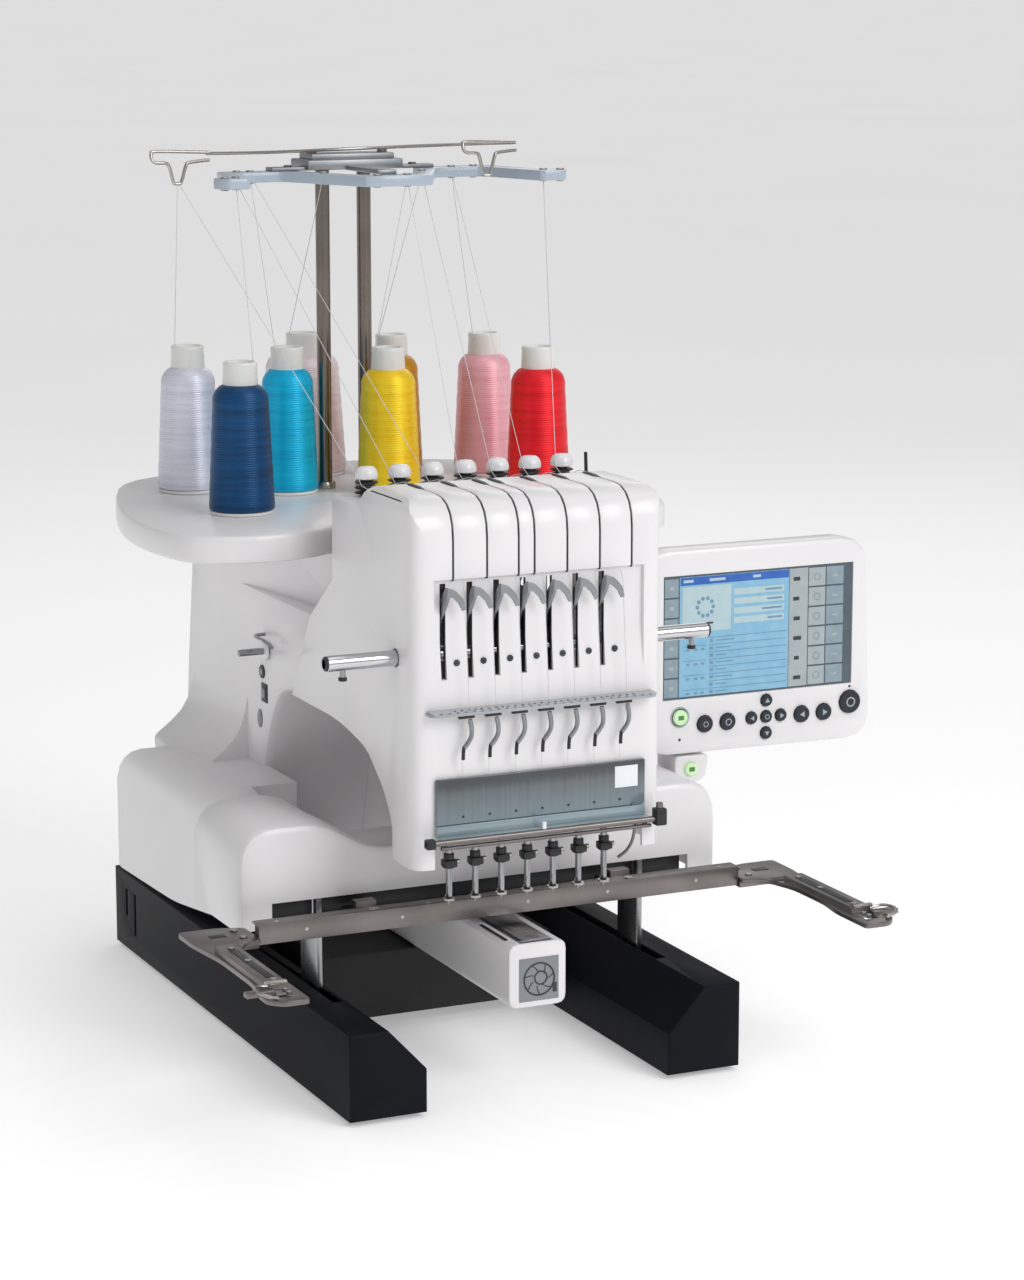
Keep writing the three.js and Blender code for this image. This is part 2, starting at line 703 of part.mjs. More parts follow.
function takeUpLever(x) {
  const slitX = x + SLIT_OFFSET;
  const y = LEVER_PIVOT_Y;
  const z = LEVER_PIVOT_Z;
  const thick = 1.2;
  const blade = alongX(
    [
      [y + 4, z - 4],
      [y + 4, z + 5],
      [15.5, 433],
      [11.5, 431],
      [12, 424],
      [y - 5, z - 3],
    ].reverse(),
    slitX - thick, slitX + thick, 0, 2,
  );
  const finger = alongY(
    [
      [slitX - thick, 425],
      [slitX - thick, 433],
      [slitX + 5, 432, 4],
      [slitX + 13, 424, 3],
      [slitX + 15.4, 415],
      [slitX + 12.6, 414],
      [slitX + 9.5, 420],
      [slitX + 4, 425.5],
    ].reverse(),
    11.7, 14.2, 0, 2,
  );
  return join(blade, finger);
}

function tensionKnob(x) {
  const z = DECK_TOP + GAP;
  const profile = [
    [0, z],
    [7, z],
    [7, z + 2],
    [KNOB_RADIUS, z + 2],
    [KNOB_RADIUS, z + KNOB_HEIGHT - 4],
    [KNOB_RADIUS - 4, z + KNOB_HEIGHT],
    [0, z + KNOB_HEIGHT],
  ];
  return turned(profile, x, KNOB_Y, 14);
}

for (let i = 0; i < NEEDLES; i++) {
  const x = needleX(i);
  const knobX = (i - (NEEDLES - 1) / 2) * KNOB_PITCH;
  add(`needle_bar_${i + 1}`, needleBar(x), STEEL);
  add(`take_up_lever_${i + 1}`, takeUpLever(x), GREY);
  add(`tension_knob_${i + 1}`, tensionKnob(knobX), WHITE);
}

// ---- Hoop carriage ----
function wingOutline(by) {
  const half = WING_HALF - by;
  const right = [
    [half, WING_BOTTOM - (by > 0 ? 20 : 0)],
    [half, DOME_TOP - by, 60 - by],
    [150, DOME_TOP - by, 18],
    [DOME_INNER, BRIDGE_TOP - by, 14],
  ];
  return [...right, ...mirrorX(right)];
}

function carriageCover() {
  const hood = alongY(wingOutline(0), WING_FRONT, DOME_BACK, 7, 5);
  const room = alongY(wingOutline(WALL), WING_FRONT + WALL + 1, DOME_BACK + 20, 0, 5);
  const columnRoom = block(
    -HOOD_GAP_HALF, HOOD_GAP_HALF, BRIDGE_BACK, DOME_BACK + 1, WING_BOTTOM - 1, DOME_TOP + 1,
  );
  const slit = block(
    -WING_SLIT_HALF, WING_SLIT_HALF, WING_FRONT - 1, WING_FRONT + 12, WING_SLIT_BOTTOM, WING_SLIT_TOP,
  );
  return cut(hood, room, columnRoom, slit);
}

const POST_FRONT = WING_FRONT + WALL + 2;

function carriageFrame() {
  const back = POST_FRONT + POST_LENGTH;
  const beam = block(-SLOT_X - 6, SLOT_X + 6, POST_FRONT + 14, back, BEAM_TOP - 24, BEAM_TOP);
  const half = POST_THICKNESS / 2;
  const posts = sides.map(([, side]) =>
    sideBlock(side, SLOT_X - half, SLOT_X + half, POST_FRONT, back, 44, BEAM_TOP - 2),
  );
  return join(beam, ...posts);
}

function hoopBar() {
  const back = BAR_FRONT + BAR_DEPTH;
  const bar = block(-WING_HALF, WING_HALF, BAR_FRONT, back, BAR_BOTTOM, BAR_TOP);
  const lip = block(-WING_HALF, WING_HALF, BAR_FRONT, back + 6, BAR_TOP - 2, BAR_TOP);
  const lugs = sides.map(([, side]) =>
    join(
      sideBlock(side, LUG_X - 13, LUG_X + 13, back - 1, POST_FRONT - RUN, 142, 147),
      sideBlock(side, LUG_X - 9, LUG_X + 9, 108, 118, 146, 156),
    ),
  );
  return join(bar, lip, ...lugs);
}

// An arm that a hoop clips to: a stepped plate with a clip near each end.
function hoopArm(side) {
  const half = HOOP_ARM_WIDTH / 2;
  const left = HOOP_ARM_X - half;
  const right = HOOP_ARM_X + half;
  const plate = alongZ(
    [
      [WING_HALF + GAP, HOOP_ARM_BACK - 8, 4],
      [left, HOOP_ARM_BACK, 4],
      [right, HOOP_ARM_BACK, 4],
      [right, 92, 6],
      [right - 6, 40, 8],
      [right - 6, -30, 8],
      [right, -62, 6],
      [right, HOOP_ARM_TIP + 10, 4],
      [right - 10, HOOP_ARM_TIP, 4],
      [left, HOOP_ARM_TIP, 4],
      [left, -40, 8],
      [left + 5, -10, 8],
      [left + 5, 40, 8],
      [left - 4, 72, 8],
      [WING_HALF + GAP, 80, 2],
    ].reverse(),
    HOOP_ARM_Z, HOOP_ARM_Z + 4, 0, 2,
  );
  const rail = block(left + 6, right - 8, -56, 60, HOOP_ARM_Z + 3, HOOP_ARM_Z + 9);
  const bracket = block(WING_HALF + GAP, left + 12, 84, 120, HOOP_ARM_Z - 5, HOOP_ARM_Z + 1);
  const window = block(left + 8, right - 12, -76, -60, HOOP_ARM_Z - 2, HOOP_ARM_Z + 12);
  const clip = block(right - 12, right + 12, HOOP_ARM_TIP + 22, HOOP_ARM_TIP + 30, HOOP_ARM_Z + 3, HOOP_ARM_Z + 7);
  const made = cut(join(plate, rail, bracket, clip), window);
  return side > 0 ? made : made.mirror([1, 0, 0]);
}

add("carriage_cover", carriageCover(), WHITE);
add("carriage_frame", carriageFrame(), STEEL);
add("hoop_bar", hoopBar(), NICKEL);
sides.forEach(([name, side]) => add(`${name}_hoop_arm`, hoopArm(side), NICKEL));

// ---- Spool tray, thread cones and thread stand ----
const CONES = [
  ["dark_blue", -140, 330, 1],
  ["white", -138, 470, 1],
  ["cyan", -60, 424, 0.94],
  ["pale_pink", -4, 530, 1.4],
  ["yellow", 21, 383, 1],
  ["gold", 66, 482, 1],
  ["pink", 150, 459, 1],
  ["red", 146, 333, 1],
];

function trayHalf() {
  return [
    [78, 240, 16],
    [116, 214, 22],
    [170, 207, 30],
    [226, 226, 34],
    [240, 300, 40],
    [234, 380, 40],
    [208, 476, 50],
    [176, 552, 36],
    [90, 590, 30],
  ];
}

function spoolTray() {
  const right = trayHalf();
  const tray = alongZ([...right, ...mirrorX(right)], TRAY_BOTTOM, TRAY_TOP, 4, 3);
  const pins = CONES.map(([, x, y]) => rod(PIN_RADIUS, [x, y, TRAY_TOP - 2], [x, y, TRAY_TOP + 60], 6));
  return join(tray, ...pins);
}

function threadCone(x, y, girth) {
  const z = TRAY_TOP + GAP;
  const shoulder = z + CONE_HEIGHT;
  const top = shoulder + CAP_HEIGHT;
  const bore = PIN_RADIUS + 2;
  const profile = [
    [bore, z],
    [CONE_BASE * girth - 1.5, z],
    [CONE_BASE * girth, z + 2],
    [CONE_SHOULDER * girth, shoulder - 10],
    [CONE_SHOULDER * girth - 4, shoulder],
    [18, shoulder + 1],
    [16.5, top],
    [bore, top],
    [bore, z],
  ];
  return turned(profile, x, y, 14);
}

function guidePlate() {
  const front = [
    [0, 306],
    [30, 306],
    [78, 404],
    [122, 404],
    [146, 322],
    [168, 322],
  ];
  const back = [
    [178, 340],
    [158, 356],
    [134, 430],
    [68, 430],
    [24, 336],
    [0, 336],
  ];
  const rim = [...front, ...back].map(([x, y]) => [x, y, x > 0 ? 8 : 0]);
  const right = alongZ(rim, GUIDE_Z, GUIDE_Z + GUIDE_THICKNESS, 0, 2);
  const whole = join(right, right.mirror([1, 0, 0]), block(-4, 4, 306, 336, GUIDE_Z, GUIDE_Z + GUIDE_THICKNESS));
  return whole;
}

function threadStand() {
  const poles = sides.map(([, side]) =>
    rod(POLE_RADIUS, [side * POLE_X, POLE_Y, TRAY_TOP + GAP], [side * POLE_X, POLE_Y, GUIDE_Z + 8], 14),
  );
  const head = block(-46, 46, 404, 446, GUIDE_Z + 2, GUIDE_Z + 14);
  const spine = block(-10, 10, 330, 446, GUIDE_Z + 2, GUIDE_Z + 9);
  const reach = block(-80, 80, 408, 426, GUIDE_Z + 1, GUIDE_Z + 8);
  const rings = [-186, 104].map((x) =>
    join(
      wire(WIRE_RADIUS, [[x - 20, 352, STAND_TOP - 4], [x - 19, 352, STAND_TOP - 14], [x - 2, 352, STAND_TOP - 14], [x, 352, GUIDE_Z + 1]], 7, 5),
      wire(WIRE_RADIUS, [[x + 20, 352, STAND_TOP - 2], [x + 16, 352, STAND_TOP - 14], [x + 2, 352, STAND_TOP - 14], [x, 352, GUIDE_Z + 1]], 7, 5),
    ),
  );
  const brace = wire(
    WIRE_RADIUS, [[-170, 352, STAND_TOP - 14], [-100, 380, STAND_TOP - 16], [0, 420, STAND_TOP - 18], [60, 400, STAND_TOP - 17], [90, 352, STAND_TOP - 14]], 12, 5,
  );
  const mast = block(-4, 4, 416, 424, GUIDE_Z + 10, STAND_TOP - 15);
  return join(...poles, head, spine, reach, guidePlate(), ...rings, brace, mast);
}

add("spool_tray", spoolTray(), WHITE);
const CONE_COLOURS = ["#17476b", "#e6e4e8", "#1fa6c6", "#f0e4e6", "#f2c51b", "#c98f14", "#e79aa0", "#cf1f2a"];
CONES.forEach(([name, x, y, girth], i) =>
  add(`${name}_cone`, threadCone(x, y, girth), finish(CONE_COLOURS[i], 0.6)),
);
add("thread_stand", threadStand(), STEEL);

// ---- Control panel on its swivel arm ----
const SCREEN = { left: 206, right: 399, bottom: 278, top: 390 };
const KEY_ROW_Z = 254;
const START_X = 223;
const KEYS = [
  ["panel_key_left", 248, KEY_ROW_Z, 7.5],
  ["panel_key_check", 271, KEY_ROW_Z, 7.5],
  ["panel_key_back", 347, KEY_ROW_Z, 7.5],
  ["panel_key_next", 370, KEY_ROW_Z, 7.5],
  ["panel_key_start", 397, 261, 10.5],
];
const PAD_X = 310.5;
const PAD_REACH = 15;
const PAD_KEY = 5.5;

const CUT_BUTTON_X = WING_HALF + 14.5;
const CUT_BUTTON_Z = 213;
const POD_FRONT = PANEL_FRONT + 4;

function panelArm() {
  const arm = alongZ(
    [
      [BODY_HALF + GAP, 414],
      [BODY_HALF + GAP, 386],
      [188, 300, 20],
      [TILT_CENTRE_X - 14, TILT_Y - 8, 4],
      [TILT_CENTRE_X + 14, TILT_Y - 8, 4],
      [TILT_CENTRE_X + 14, TILT_Y + 22, 10],
      [160, 414, 30],
    ],
    238, 262, 2,
  );
  const upright = block(
    TILT_CENTRE_X - 10, TILT_CENTRE_X + 10, TILT_Y - 6, TILT_Y + 12, 260, TILT_Z + 10,
  );
  const axle = rod(
    TILT_RADIUS, [TILT_CENTRE_X - 22, TILT_Y, TILT_Z], [TILT_CENTRE_X + 22, TILT_Y, TILT_Z], 16,
  );
  const pod = alongY(
    [
      [CUT_BUTTON_X - 15.5, 200, 5],
      [CUT_BUTTON_X + 16, 200, 12],
      [CUT_BUTTON_X + 18, PANEL_BOTTOM - 3, 4],
      [CUT_BUTTON_X - 15.5, PANEL_BOTTOM - 3, 4],
    ],
    POD_FRONT, PANEL_FRONT + 40, 1.5,
  );
  const riser = block(
    CUT_BUTTON_X + 2, CUT_BUTTON_X + 18, PANEL_FRONT + PANEL_DEPTH + 5, TILT_Y + 8, 206, 250,
  );
  const well = rod(
    6.8, [CUT_BUTTON_X, PANEL_FRONT, CUT_BUTTON_Z], [CUT_BUTTON_X, POD_FRONT + 12, CUT_BUTTON_Z], 12,
  );
  return cut(join(arm, upright, axle, pod, riser), well);
}

function panelHousing() {
  const back = PANEL_FRONT + PANEL_DEPTH;
  const body = alongY(
    [
      [PANEL_LEFT, PANEL_BOTTOM, PANEL_ROUND],
      [PANEL_RIGHT, PANEL_BOTTOM - 2, PANEL_ROUND],
      [PANEL_RIGHT - 8, PANEL_TOP, PANEL_ROUND],
      [PANEL_LEFT, PANEL_TOP, PANEL_ROUND],
    ],
    PANEL_FRONT, back, 4, 3,
  );
  const ears = [-1, 1].map((way) =>
    cut(
      sideBlock(way, 11, 20, back - 2, TILT_Y + 9, TILT_Z - 9, TILT_Z + 9)
        .translate([TILT_CENTRE_X, 0, 0]),
      rod(
        TILT_RADIUS + GAP, [TILT_CENTRE_X - 30, TILT_Y, TILT_Z], [TILT_CENTRE_X + 30, TILT_Y, TILT_Z], 16,
      ),
    ),
  );
  const screen = block(
    SCREEN.left, SCREEN.right, PANEL_FRONT - 1, PANEL_FRONT + 2, SCREEN.bottom, SCREEN.top,
  );
  const wells = KEYS.map(([, x, z, r]) =>
    rod(r + 0.6, [x, PANEL_FRONT - 1, z], [x, PANEL_FRONT + 12, z], 12),
  );
  const startWell = rod(7.6, [START_X, PANEL_FRONT - 1, 262], [START_X, PANEL_FRONT + 12, 262], 12);
  const padWell = padShape(0.6, PANEL_FRONT - 1, PANEL_FRONT + 12);
  return cut(join(body, ...ears), screen, startWell, padWell, ...wells);
}

// Five round key tops on one cross-shaped membrane.
function padShape(grow, y0, y1) {
  const spots = [
    [0, 0],
    [-PAD_REACH, 0],
    [PAD_REACH, 0],
    [0, -PAD_REACH],
    [0, PAD_REACH],
  ];
  const r = PAD_KEY + grow;
  const tops = spots.map(([dx, dz]) =>
    rod(r, [PAD_X + dx, y0, KEY_ROW_Z + 1 + dz], [PAD_X + dx, y1, KEY_ROW_Z + 1 + dz], 10),
  );
  return join(...tops);
}

function directionPad() {
  const web = 2 + KEY_TRAVEL;
  const front = PANEL_FRONT - KEY_PROUD;
  const membrane = join(
    block(PAD_X - PAD_REACH, PAD_X + PAD_REACH, PANEL_FRONT + 2, PANEL_FRONT + 2 + web, KEY_ROW_Z - 2, KEY_ROW_Z + 4),
    block(PAD_X - 3, PAD_X + 3, PANEL_FRONT + 2, PANEL_FRONT + 2 + web, KEY_ROW_Z + 1 - PAD_REACH, KEY_ROW_Z + 1 + PAD_REACH),
  );
  return join(padShape(0, front, PANEL_FRONT + 6), membrane);
}

add("panel_arm", panelArm(), WHITE);
const membraneRoom = join(
  block(PAD_X - PAD_REACH - 1, PAD_X + PAD_REACH + 1, PANEL_FRONT + 1.5, PANEL_FRONT + 12, KEY_ROW_Z - 3, KEY_ROW_Z + 5),
  block(PAD_X - 4, PAD_X + 4, PANEL_FRONT + 1.5, PANEL_FRONT + 12, KEY_ROW_Z - PAD_REACH, KEY_ROW_Z + 2 + PAD_REACH),
);
add("panel_housing", cut(panelHousing(), membraneRoom), WHITE);
const button = (x, z, r, front, back) => rod(r, [x, front, z], [x, back, z], 12);
add("direction_pad", directionPad(), KEY);
KEYS.forEach(([name, x, z, r]) =>
  add(name, button(x, z, r, PANEL_FRONT - KEY_PROUD, PANEL_FRONT + 8), KEY),
);
add("start_stop_button", button(START_X, 262, 7, PANEL_FRONT - KEY_PROUD, PANEL_FRONT + 8), GLOW);
add(
  "thread_cut_button",
  button(CUT_BUTTON_X, CUT_BUTTON_Z, 6.2, POD_FRONT - KEY_PROUD, POD_FRONT + 8),
  GLOW,
);

// ---- Origin at the bottom centre of the bounding box ----
const bounds = new THREE.Box3().setFromObject(machine);
const centre = bounds.getCenter(new THREE.Vector3());
machine.position.set(-centre.x, -centre.y, -bounds.min.z);

export default machine;
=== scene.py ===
"""A seven-needle free-arm embroidery machine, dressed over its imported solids."""

import math
import random

import bmesh
import bpy
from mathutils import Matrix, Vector


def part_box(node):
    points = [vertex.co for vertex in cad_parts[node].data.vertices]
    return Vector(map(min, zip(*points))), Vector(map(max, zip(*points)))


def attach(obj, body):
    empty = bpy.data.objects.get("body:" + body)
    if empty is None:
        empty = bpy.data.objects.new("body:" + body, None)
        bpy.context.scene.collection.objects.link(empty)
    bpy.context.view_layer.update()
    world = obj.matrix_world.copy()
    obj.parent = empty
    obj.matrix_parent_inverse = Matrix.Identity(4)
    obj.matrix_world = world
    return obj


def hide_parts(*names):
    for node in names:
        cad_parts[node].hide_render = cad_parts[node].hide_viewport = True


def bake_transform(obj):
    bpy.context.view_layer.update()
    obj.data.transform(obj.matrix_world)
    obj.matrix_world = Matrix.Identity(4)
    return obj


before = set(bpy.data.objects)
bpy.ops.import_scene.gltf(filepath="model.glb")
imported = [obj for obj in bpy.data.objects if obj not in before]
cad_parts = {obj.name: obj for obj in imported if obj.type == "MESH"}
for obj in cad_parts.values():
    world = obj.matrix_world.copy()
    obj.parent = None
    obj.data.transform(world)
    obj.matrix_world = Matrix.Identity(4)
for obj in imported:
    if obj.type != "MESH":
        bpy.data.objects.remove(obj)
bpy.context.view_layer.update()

# The datum that shapes are measured from: the needle case's middle, the front of the feet, the table.
MM = 0.001
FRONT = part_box("left_foot")[0].y
MIDDLE = sum(corner.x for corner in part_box("needle_case")) / 2

# Rows across the head: needles, tension dials, and take-up slits beside the needles.
NEEDLES = 7
PITCH = 23.6
KNOB_PITCH = 30
SLIT_OFFSET = -14
NEEDLE_X = [(i - NEEDLES // 2) * PITCH for i in range(NEEDLES)]
KNOB_X = [(i - NEEDLES // 2) * KNOB_PITCH for i in range(NEEDLES)]


def at(x, y, z):
    """The place in metres of a point in millimetres from the datum."""
    return Vector((MIDDLE + x * MM, FRONT + y * MM, z * MM))


def corners(node):
    """A CAD node's lowest and highest corners, in millimetres from the datum."""
    datum = Vector((MIDDLE, FRONT, 0))
    return [(Vector(corner) - datum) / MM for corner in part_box(node)]


# ---- Materials ----
def linear(code):
    """An sRGB hex colour as linear RGBA."""
    parts = [int(code[i : i + 2], 16) / 255 for i in (1, 3, 5)]
    return [c / 12.92 if c <= 0.04045 else ((c + 0.055) / 1.055) ** 2.4 for c in parts] + [1.0]


def add(material, kind, inputs=None, **settings):
    """Adds a node; an input that is a socket is linked, any other is set."""
    made = material.node_tree.nodes.new(kind)
    for key, value in settings.items():
        setattr(made, key, value)
    for key, value in (inputs or {}).items():
        if isinstance(value, bpy.types.NodeSocket):
            material.node_tree.links.new(value, made.inputs[key])
        else:
            made.inputs[key].default_value = value
    return made


def blank(name):
    """A new material with no nodes yet."""
    material = bpy.data.materials.new(name)
    material.use_nodes = True
    material.node_tree.nodes.clear()
    return material


def shade(material, inputs):
    """Ends a material with its surface and output."""
    shader = add(material, "ShaderNodeBsdfPrincipled", inputs)
    add(material, "ShaderNodeOutputMaterial", {"Surface": shader.outputs[0]})
    return material


METRE = 1000  # millimetres, which turns a spacing into a pattern's scale
FLOW_SCALE = 11.0  # flow marks 90 mm apart, a hand's width
SMEAR_SCALE = 24.0  # handling marks 40 mm apart
GLOW_SCALE = 90.0  # backlight patches 11 mm apart
WINDING_GAP = 0.002  # metres between crossing turns of thread
LAYER_STRETCH = (6, 6, 190)  # layers of winding 5 mm high
DRAW_STRETCH = (420, 1, 6)  # draw lines 2.4 mm apart, running down


def moulded(name, light, dark, roughness, grain_mm, depth=0.12, coat=0.0, ior=1.53, gloss=0.5):
    """Moulded plastic, ink or paint: broad flow marks over a fine grain.

    A real grain is near 0.1 mm; grain_mm is 0.7 to 2 mm, coarse enough to show.
    """
    m = blank(name)
    place = add(m, "ShaderNodeTexCoord").outputs["Object"]
    flow = add(m, "ShaderNodeTexNoise", {"Vector": place, "Scale": FLOW_SCALE, "Detail": 3.0})
    grain = add(m, "ShaderNodeTexNoise", {"Vector": place, "Scale": METRE / grain_mm, "Detail": 2.0})
    colour = add(
        m, "ShaderNodeMix", {0: flow.outputs["Fac"], 6: linear(dark), 7: linear(light)}, data_type="RGBA"
    )
    matt = add(
        m,
        "ShaderNodeMapRange",
        {"Value": grain.outputs["Fac"], "To Min": roughness - 0.05, "To Max": roughness + 0.07},
    )
    bump = add(
        m, "ShaderNodeBump", {"Height": grain.outputs["Fac"], "Strength": depth, "Distance": 0.0002}
    )
    return shade(
        m,
        {
            "Base Color": colour.outputs[2],
            "Roughness": matt.outputs["Result"],
            "IOR": ior,
            "Specular IOR Level": gloss,
            "Coat Weight": coat,
            "Coat Roughness": 0.12,
            "Normal": bump.outputs["Normal"],
        },
    )


def drawn_metal(name, light, dark, roughness, stretch, depth=0.15):
    """Metal with the fine lines of brushing or drawing; stretch is the pattern's scale on each axis.

    Real lines are under 0.1 mm apart; these are 1 to 2 mm apart, so that they show.
    """
    m = blank(name)
    place = add(m, "ShaderNodeTexCoord").outputs["Object"]
    along = add(m, "ShaderNodeMapping", {"Vector": place, "Scale": stretch})
    lines = add(m, "ShaderNodeTexNoise", {"Vector": along.outputs[0], "Scale": 1.0, "Detail": 4.0})
    smear = add(m, "ShaderNodeTexNoise", {"Vector": place, "Scale": SMEAR_SCALE, "Detail": 3.0})
    colour = add(
        m, "ShaderNodeMix", {0: smear.outputs["Fac"], 6: linear(dark), 7: linear(light)}, data_type="RGBA"
    )
    matt = add(
        m,
        "ShaderNodeMapRange",
        {"Value": lines.outputs["Fac"], "To Min": roughness - 0.07, "To Max": roughness + 0.1},
    )
    bump = add(
        m, "ShaderNodeBump", {"Height": lines.outputs["Fac"], "Strength": depth, "Distance": 0.0001}
    )
    return shade(
        m,
        {
            "Base Color": colour.outputs[2],
            "Metallic": 1.0,
            "Roughness": matt.outputs["Result"],
            "Normal": bump.outputs["Normal"],
        },
    )


def wound_thread(name, light, dark):
    """Polyester thread wound on a cone, with the silky sheen of its crossing turns.

    They are drawn 2 mm apart, where the real ones are 0.3 mm, so that they show.
    """
    m = blank(name)
    place = add(m, "ShaderNodeTexCoord").outputs["Object"]
    axes = add(m, "ShaderNodeSeparateXYZ", {"Vector": place}).outputs
    turn = add(m, "ShaderNodeMath", {0: axes["Y"], 1: axes["X"]}, operation="ARCTAN2").outputs[0]
    height = add(
        m, "ShaderNodeMath", {0: axes["Z"], 1: 2 * math.pi / WINDING_GAP}, operation="MULTIPLY"
    ).outputs[0]
    rise = add(m, "ShaderNodeMath", {0: turn, 1: 3.0, 2: height}, operation="MULTIPLY_ADD").outputs[0]
    fall = add(m, "ShaderNodeMath", {0: turn, 1: -4.0, 2: height}, operation="MULTIPLY_ADD").outputs[0]
    rising = add(m, "ShaderNodeMath", {0: rise}, operation="SINE").outputs[0]
    falling = add(m, "ShaderNodeMath", {0: fall}, operation="SINE").outputs[0]
    turns = add(m, "ShaderNodeMath", {0: rising, 1: falling}, operation="MAXIMUM").outputs[0]
    # Layers of winding show as broad, faint rings.
    flat = add(m, "ShaderNodeMapping", {"Vector": place, "Scale": LAYER_STRETCH})
    layers = add(m, "ShaderNodeTexNoise", {"Vector": flat.outputs[0], "Scale": 1.0, "Detail": 2.0})
    tint = add(
        m, "ShaderNodeMapRange", {"Value": layers.outputs["Fac"], "From Min": 0.3, "From Max": 0.7}
    )
    colour = add(
        m, "ShaderNodeMix", {0: tint.outputs["Result"], 6: linear(dark), 7: linear(light)}, data_type="RGBA"
    )
    bump = add(m, "ShaderNodeBump", {"Height": turns, "Strength": 0.35, "Distance": 0.0003})
    matt = add(
        m, "ShaderNodeMapRange", {"Value": layers.outputs["Fac"], "To Min": 0.28, "To Max": 0.46}
    )
    return shade(
        m,
        {
            "Base Color": colour.outputs[2],
            "Roughness": matt.outputs["Result"],
            "Metallic": 0.3,
            "Specular IOR Level": 0.4,
            "Normal": bump.outputs["Normal"],
        },
    )


def lit_panel(name, light, dark, glow):
    """A lit surface under a clear cover, with the faint unevenness of its backlight."""
    m = blank(name)
    place = add(m, "ShaderNodeTexCoord").outputs["Object"]
    uneven = add(m, "ShaderNodeTexNoise", {"Vector": place, "Scale": GLOW_SCALE, "Detail": 1.0})
    colour = add(
        m, "ShaderNodeMix", {0: uneven.outputs["Fac"], 6: linear(dark), 7: linear(light)}, data_type="RGBA"
    )
    return shade(
        m,
        {
            "Base Color": colour.outputs[2],
            "Roughness": 0.25,
            "Emission Color": colour.outputs[2],
            "Emission Strength": glow,
        },
    )


def smoked_moulding(name, top, bottom, heights, roughness):
    """A tinted clear moulding with painted shade that darkens it with height, and the vertical draw lines
    of its mould.
    """
    m = blank(name)
    place = add(m, "ShaderNodeTexCoord").outputs["Object"]
    axes = add(m, "ShaderNodeSeparateXYZ", {"Vector": place}).outputs
    low, high = heights
    # Painted shade: the colour darkens from the lower edge to the top.
    rise = add(m, "ShaderNodeMapRange", {"Value": axes["Z"], "From Min": low, "From Max": high})
    along = add(m, "ShaderNodeMapping", {"Vector": place, "Scale": DRAW_STRETCH})
    lines = add(m, "ShaderNodeTexNoise", {"Vector": along.outputs[0], "Scale": 1.0, "Detail": 2.0})
    mixed = add(
        m,
        "ShaderNodeMath",
        {0: lines.outputs["Fac"], 1: 0.35, 2: rise.outputs["Result"]},
        operation="MULTIPLY_ADD",
        use_clamp=True,
    )
    colour = add(
        m, "ShaderNodeMix", {0: mixed.outputs[0], 6: linear(bottom), 7: linear(top)}, data_type="RGBA"
    )
    bump = add(
        m, "ShaderNodeBump", {"Height": lines.outputs["Fac"], "Strength": 0.1, "Distance": 0.0002}
    )
    return shade(
        m,
        {
            "Base Color": colour.outputs[2],
            "Roughness": roughness,
            "IOR": 1.58,
            "Coat Weight": 0.5,
            "Coat Roughness": 0.08,
            "Normal": bump.outputs["Normal"],
        },
    )


# White ABS from a polished mould: cool white with a soft, broad highlight.
white_abs = moulded("moulded_white_abs", "#EFEDEE", "#E6E4E6", 0.36, 0.7, coat=0.25)
# The same plastic, glossier, on small caps: brighter, with a tighter highlight.
milky_abs = moulded("moulded_milky_abs", "#F3F2F3", "#E9E8EA", 0.3, 0.7, coat=0.35)
# ABS from a spark-eroded mould: blue so dark that it reads as black, and dull.
navy_abs = moulded("spark_grained_navy_abs", "#080B14", "#05070E", 0.55, 1.1, depth=0.25, gloss=0.15)
# Crinkle paint on the inner frame: dark, rough, and without a clear reflection.
black_paint = moulded("crinkle_black_paint", "#1B1B1E", "#101012", 0.6, 1.6, depth=0.4)
# Nylon straight from the mould: black with a low sheen along its edges.
black_nylon = moulded("moulded_black_nylon", "#1E1F22", "#141517", 0.42, 0.9)
# Silicone keys: dark blue-grey with a blurred highlight.
key_rubber = moulded("silicone_rubber_keys", "#2A3038", "#1E232A", 0.45, 0.8, ior=1.43)
# Screen-printed ink: flat pale grey on the keys.
legend_ink = moulded("printed_grey_ink", "#AEB6BC", "#99A2A9", 0.5, 0.8)
# Printed vinyl: a flat white, cleaner than the plastic round it.
vinyl_label = moulded("printed_white_vinyl", "#F4F7FA", "#E6ECF2", 0.35, 1.2)
# The same vinyl in mid grey.
grey_label = moulded("printed_grey_vinyl", "#8E9297", "#7E8287", 0.4, 1.2)
# Printed ink: flat, nearly black.
dark_ink = moulded("printed_dark_ink", "#33373C", "#272A2F", 0.5, 0.8)
# Enamel stoved on pressed steel: cool blue-grey under a smooth clear gloss.
blue_enamel = moulded("stoved_blue_grey_enamel", "#B4C1CE", "#9FADBB", 0.3, 1.3, coat=0.3)
# The same enamel in pale grey.
grey_enamel = moulded("stoved_pale_grey_enamel", "#B2B6BA", "#9CA1A6", 0.32, 1.3, coat=0.3)
# Frosted polypropylene: milky, with a soft highlight.
clear_cap = moulded("frosted_polypropylene", "#EEEEEA", "#E0E0DC", 0.35, 0.9)
# Smoked polycarbonate over dark works: glossy, with painted shade that makes it darker towards its top.
smoked_pc = smoked_moulding("smoked_polycarbonate", "#4C5053", "#7A8C95", (0.238, 0.276), 0.2)
# Its thick edge, where gathered light makes the tint paler.
smoked_edge = moulded(
    "smoked_polycarbonate_edge", "#9DAFB7", "#86989F", 0.15, 2.0, depth=0.03, coat=0.6, ior=1.58
)
# Hard chrome on a ground rod: the brightest metal, with highlights drawn out along it.
chrome_rod = drawn_metal("polished_chrome_rod", "#D9D9DB", "#BDBDC0", 0.14, (6, 900, 900))
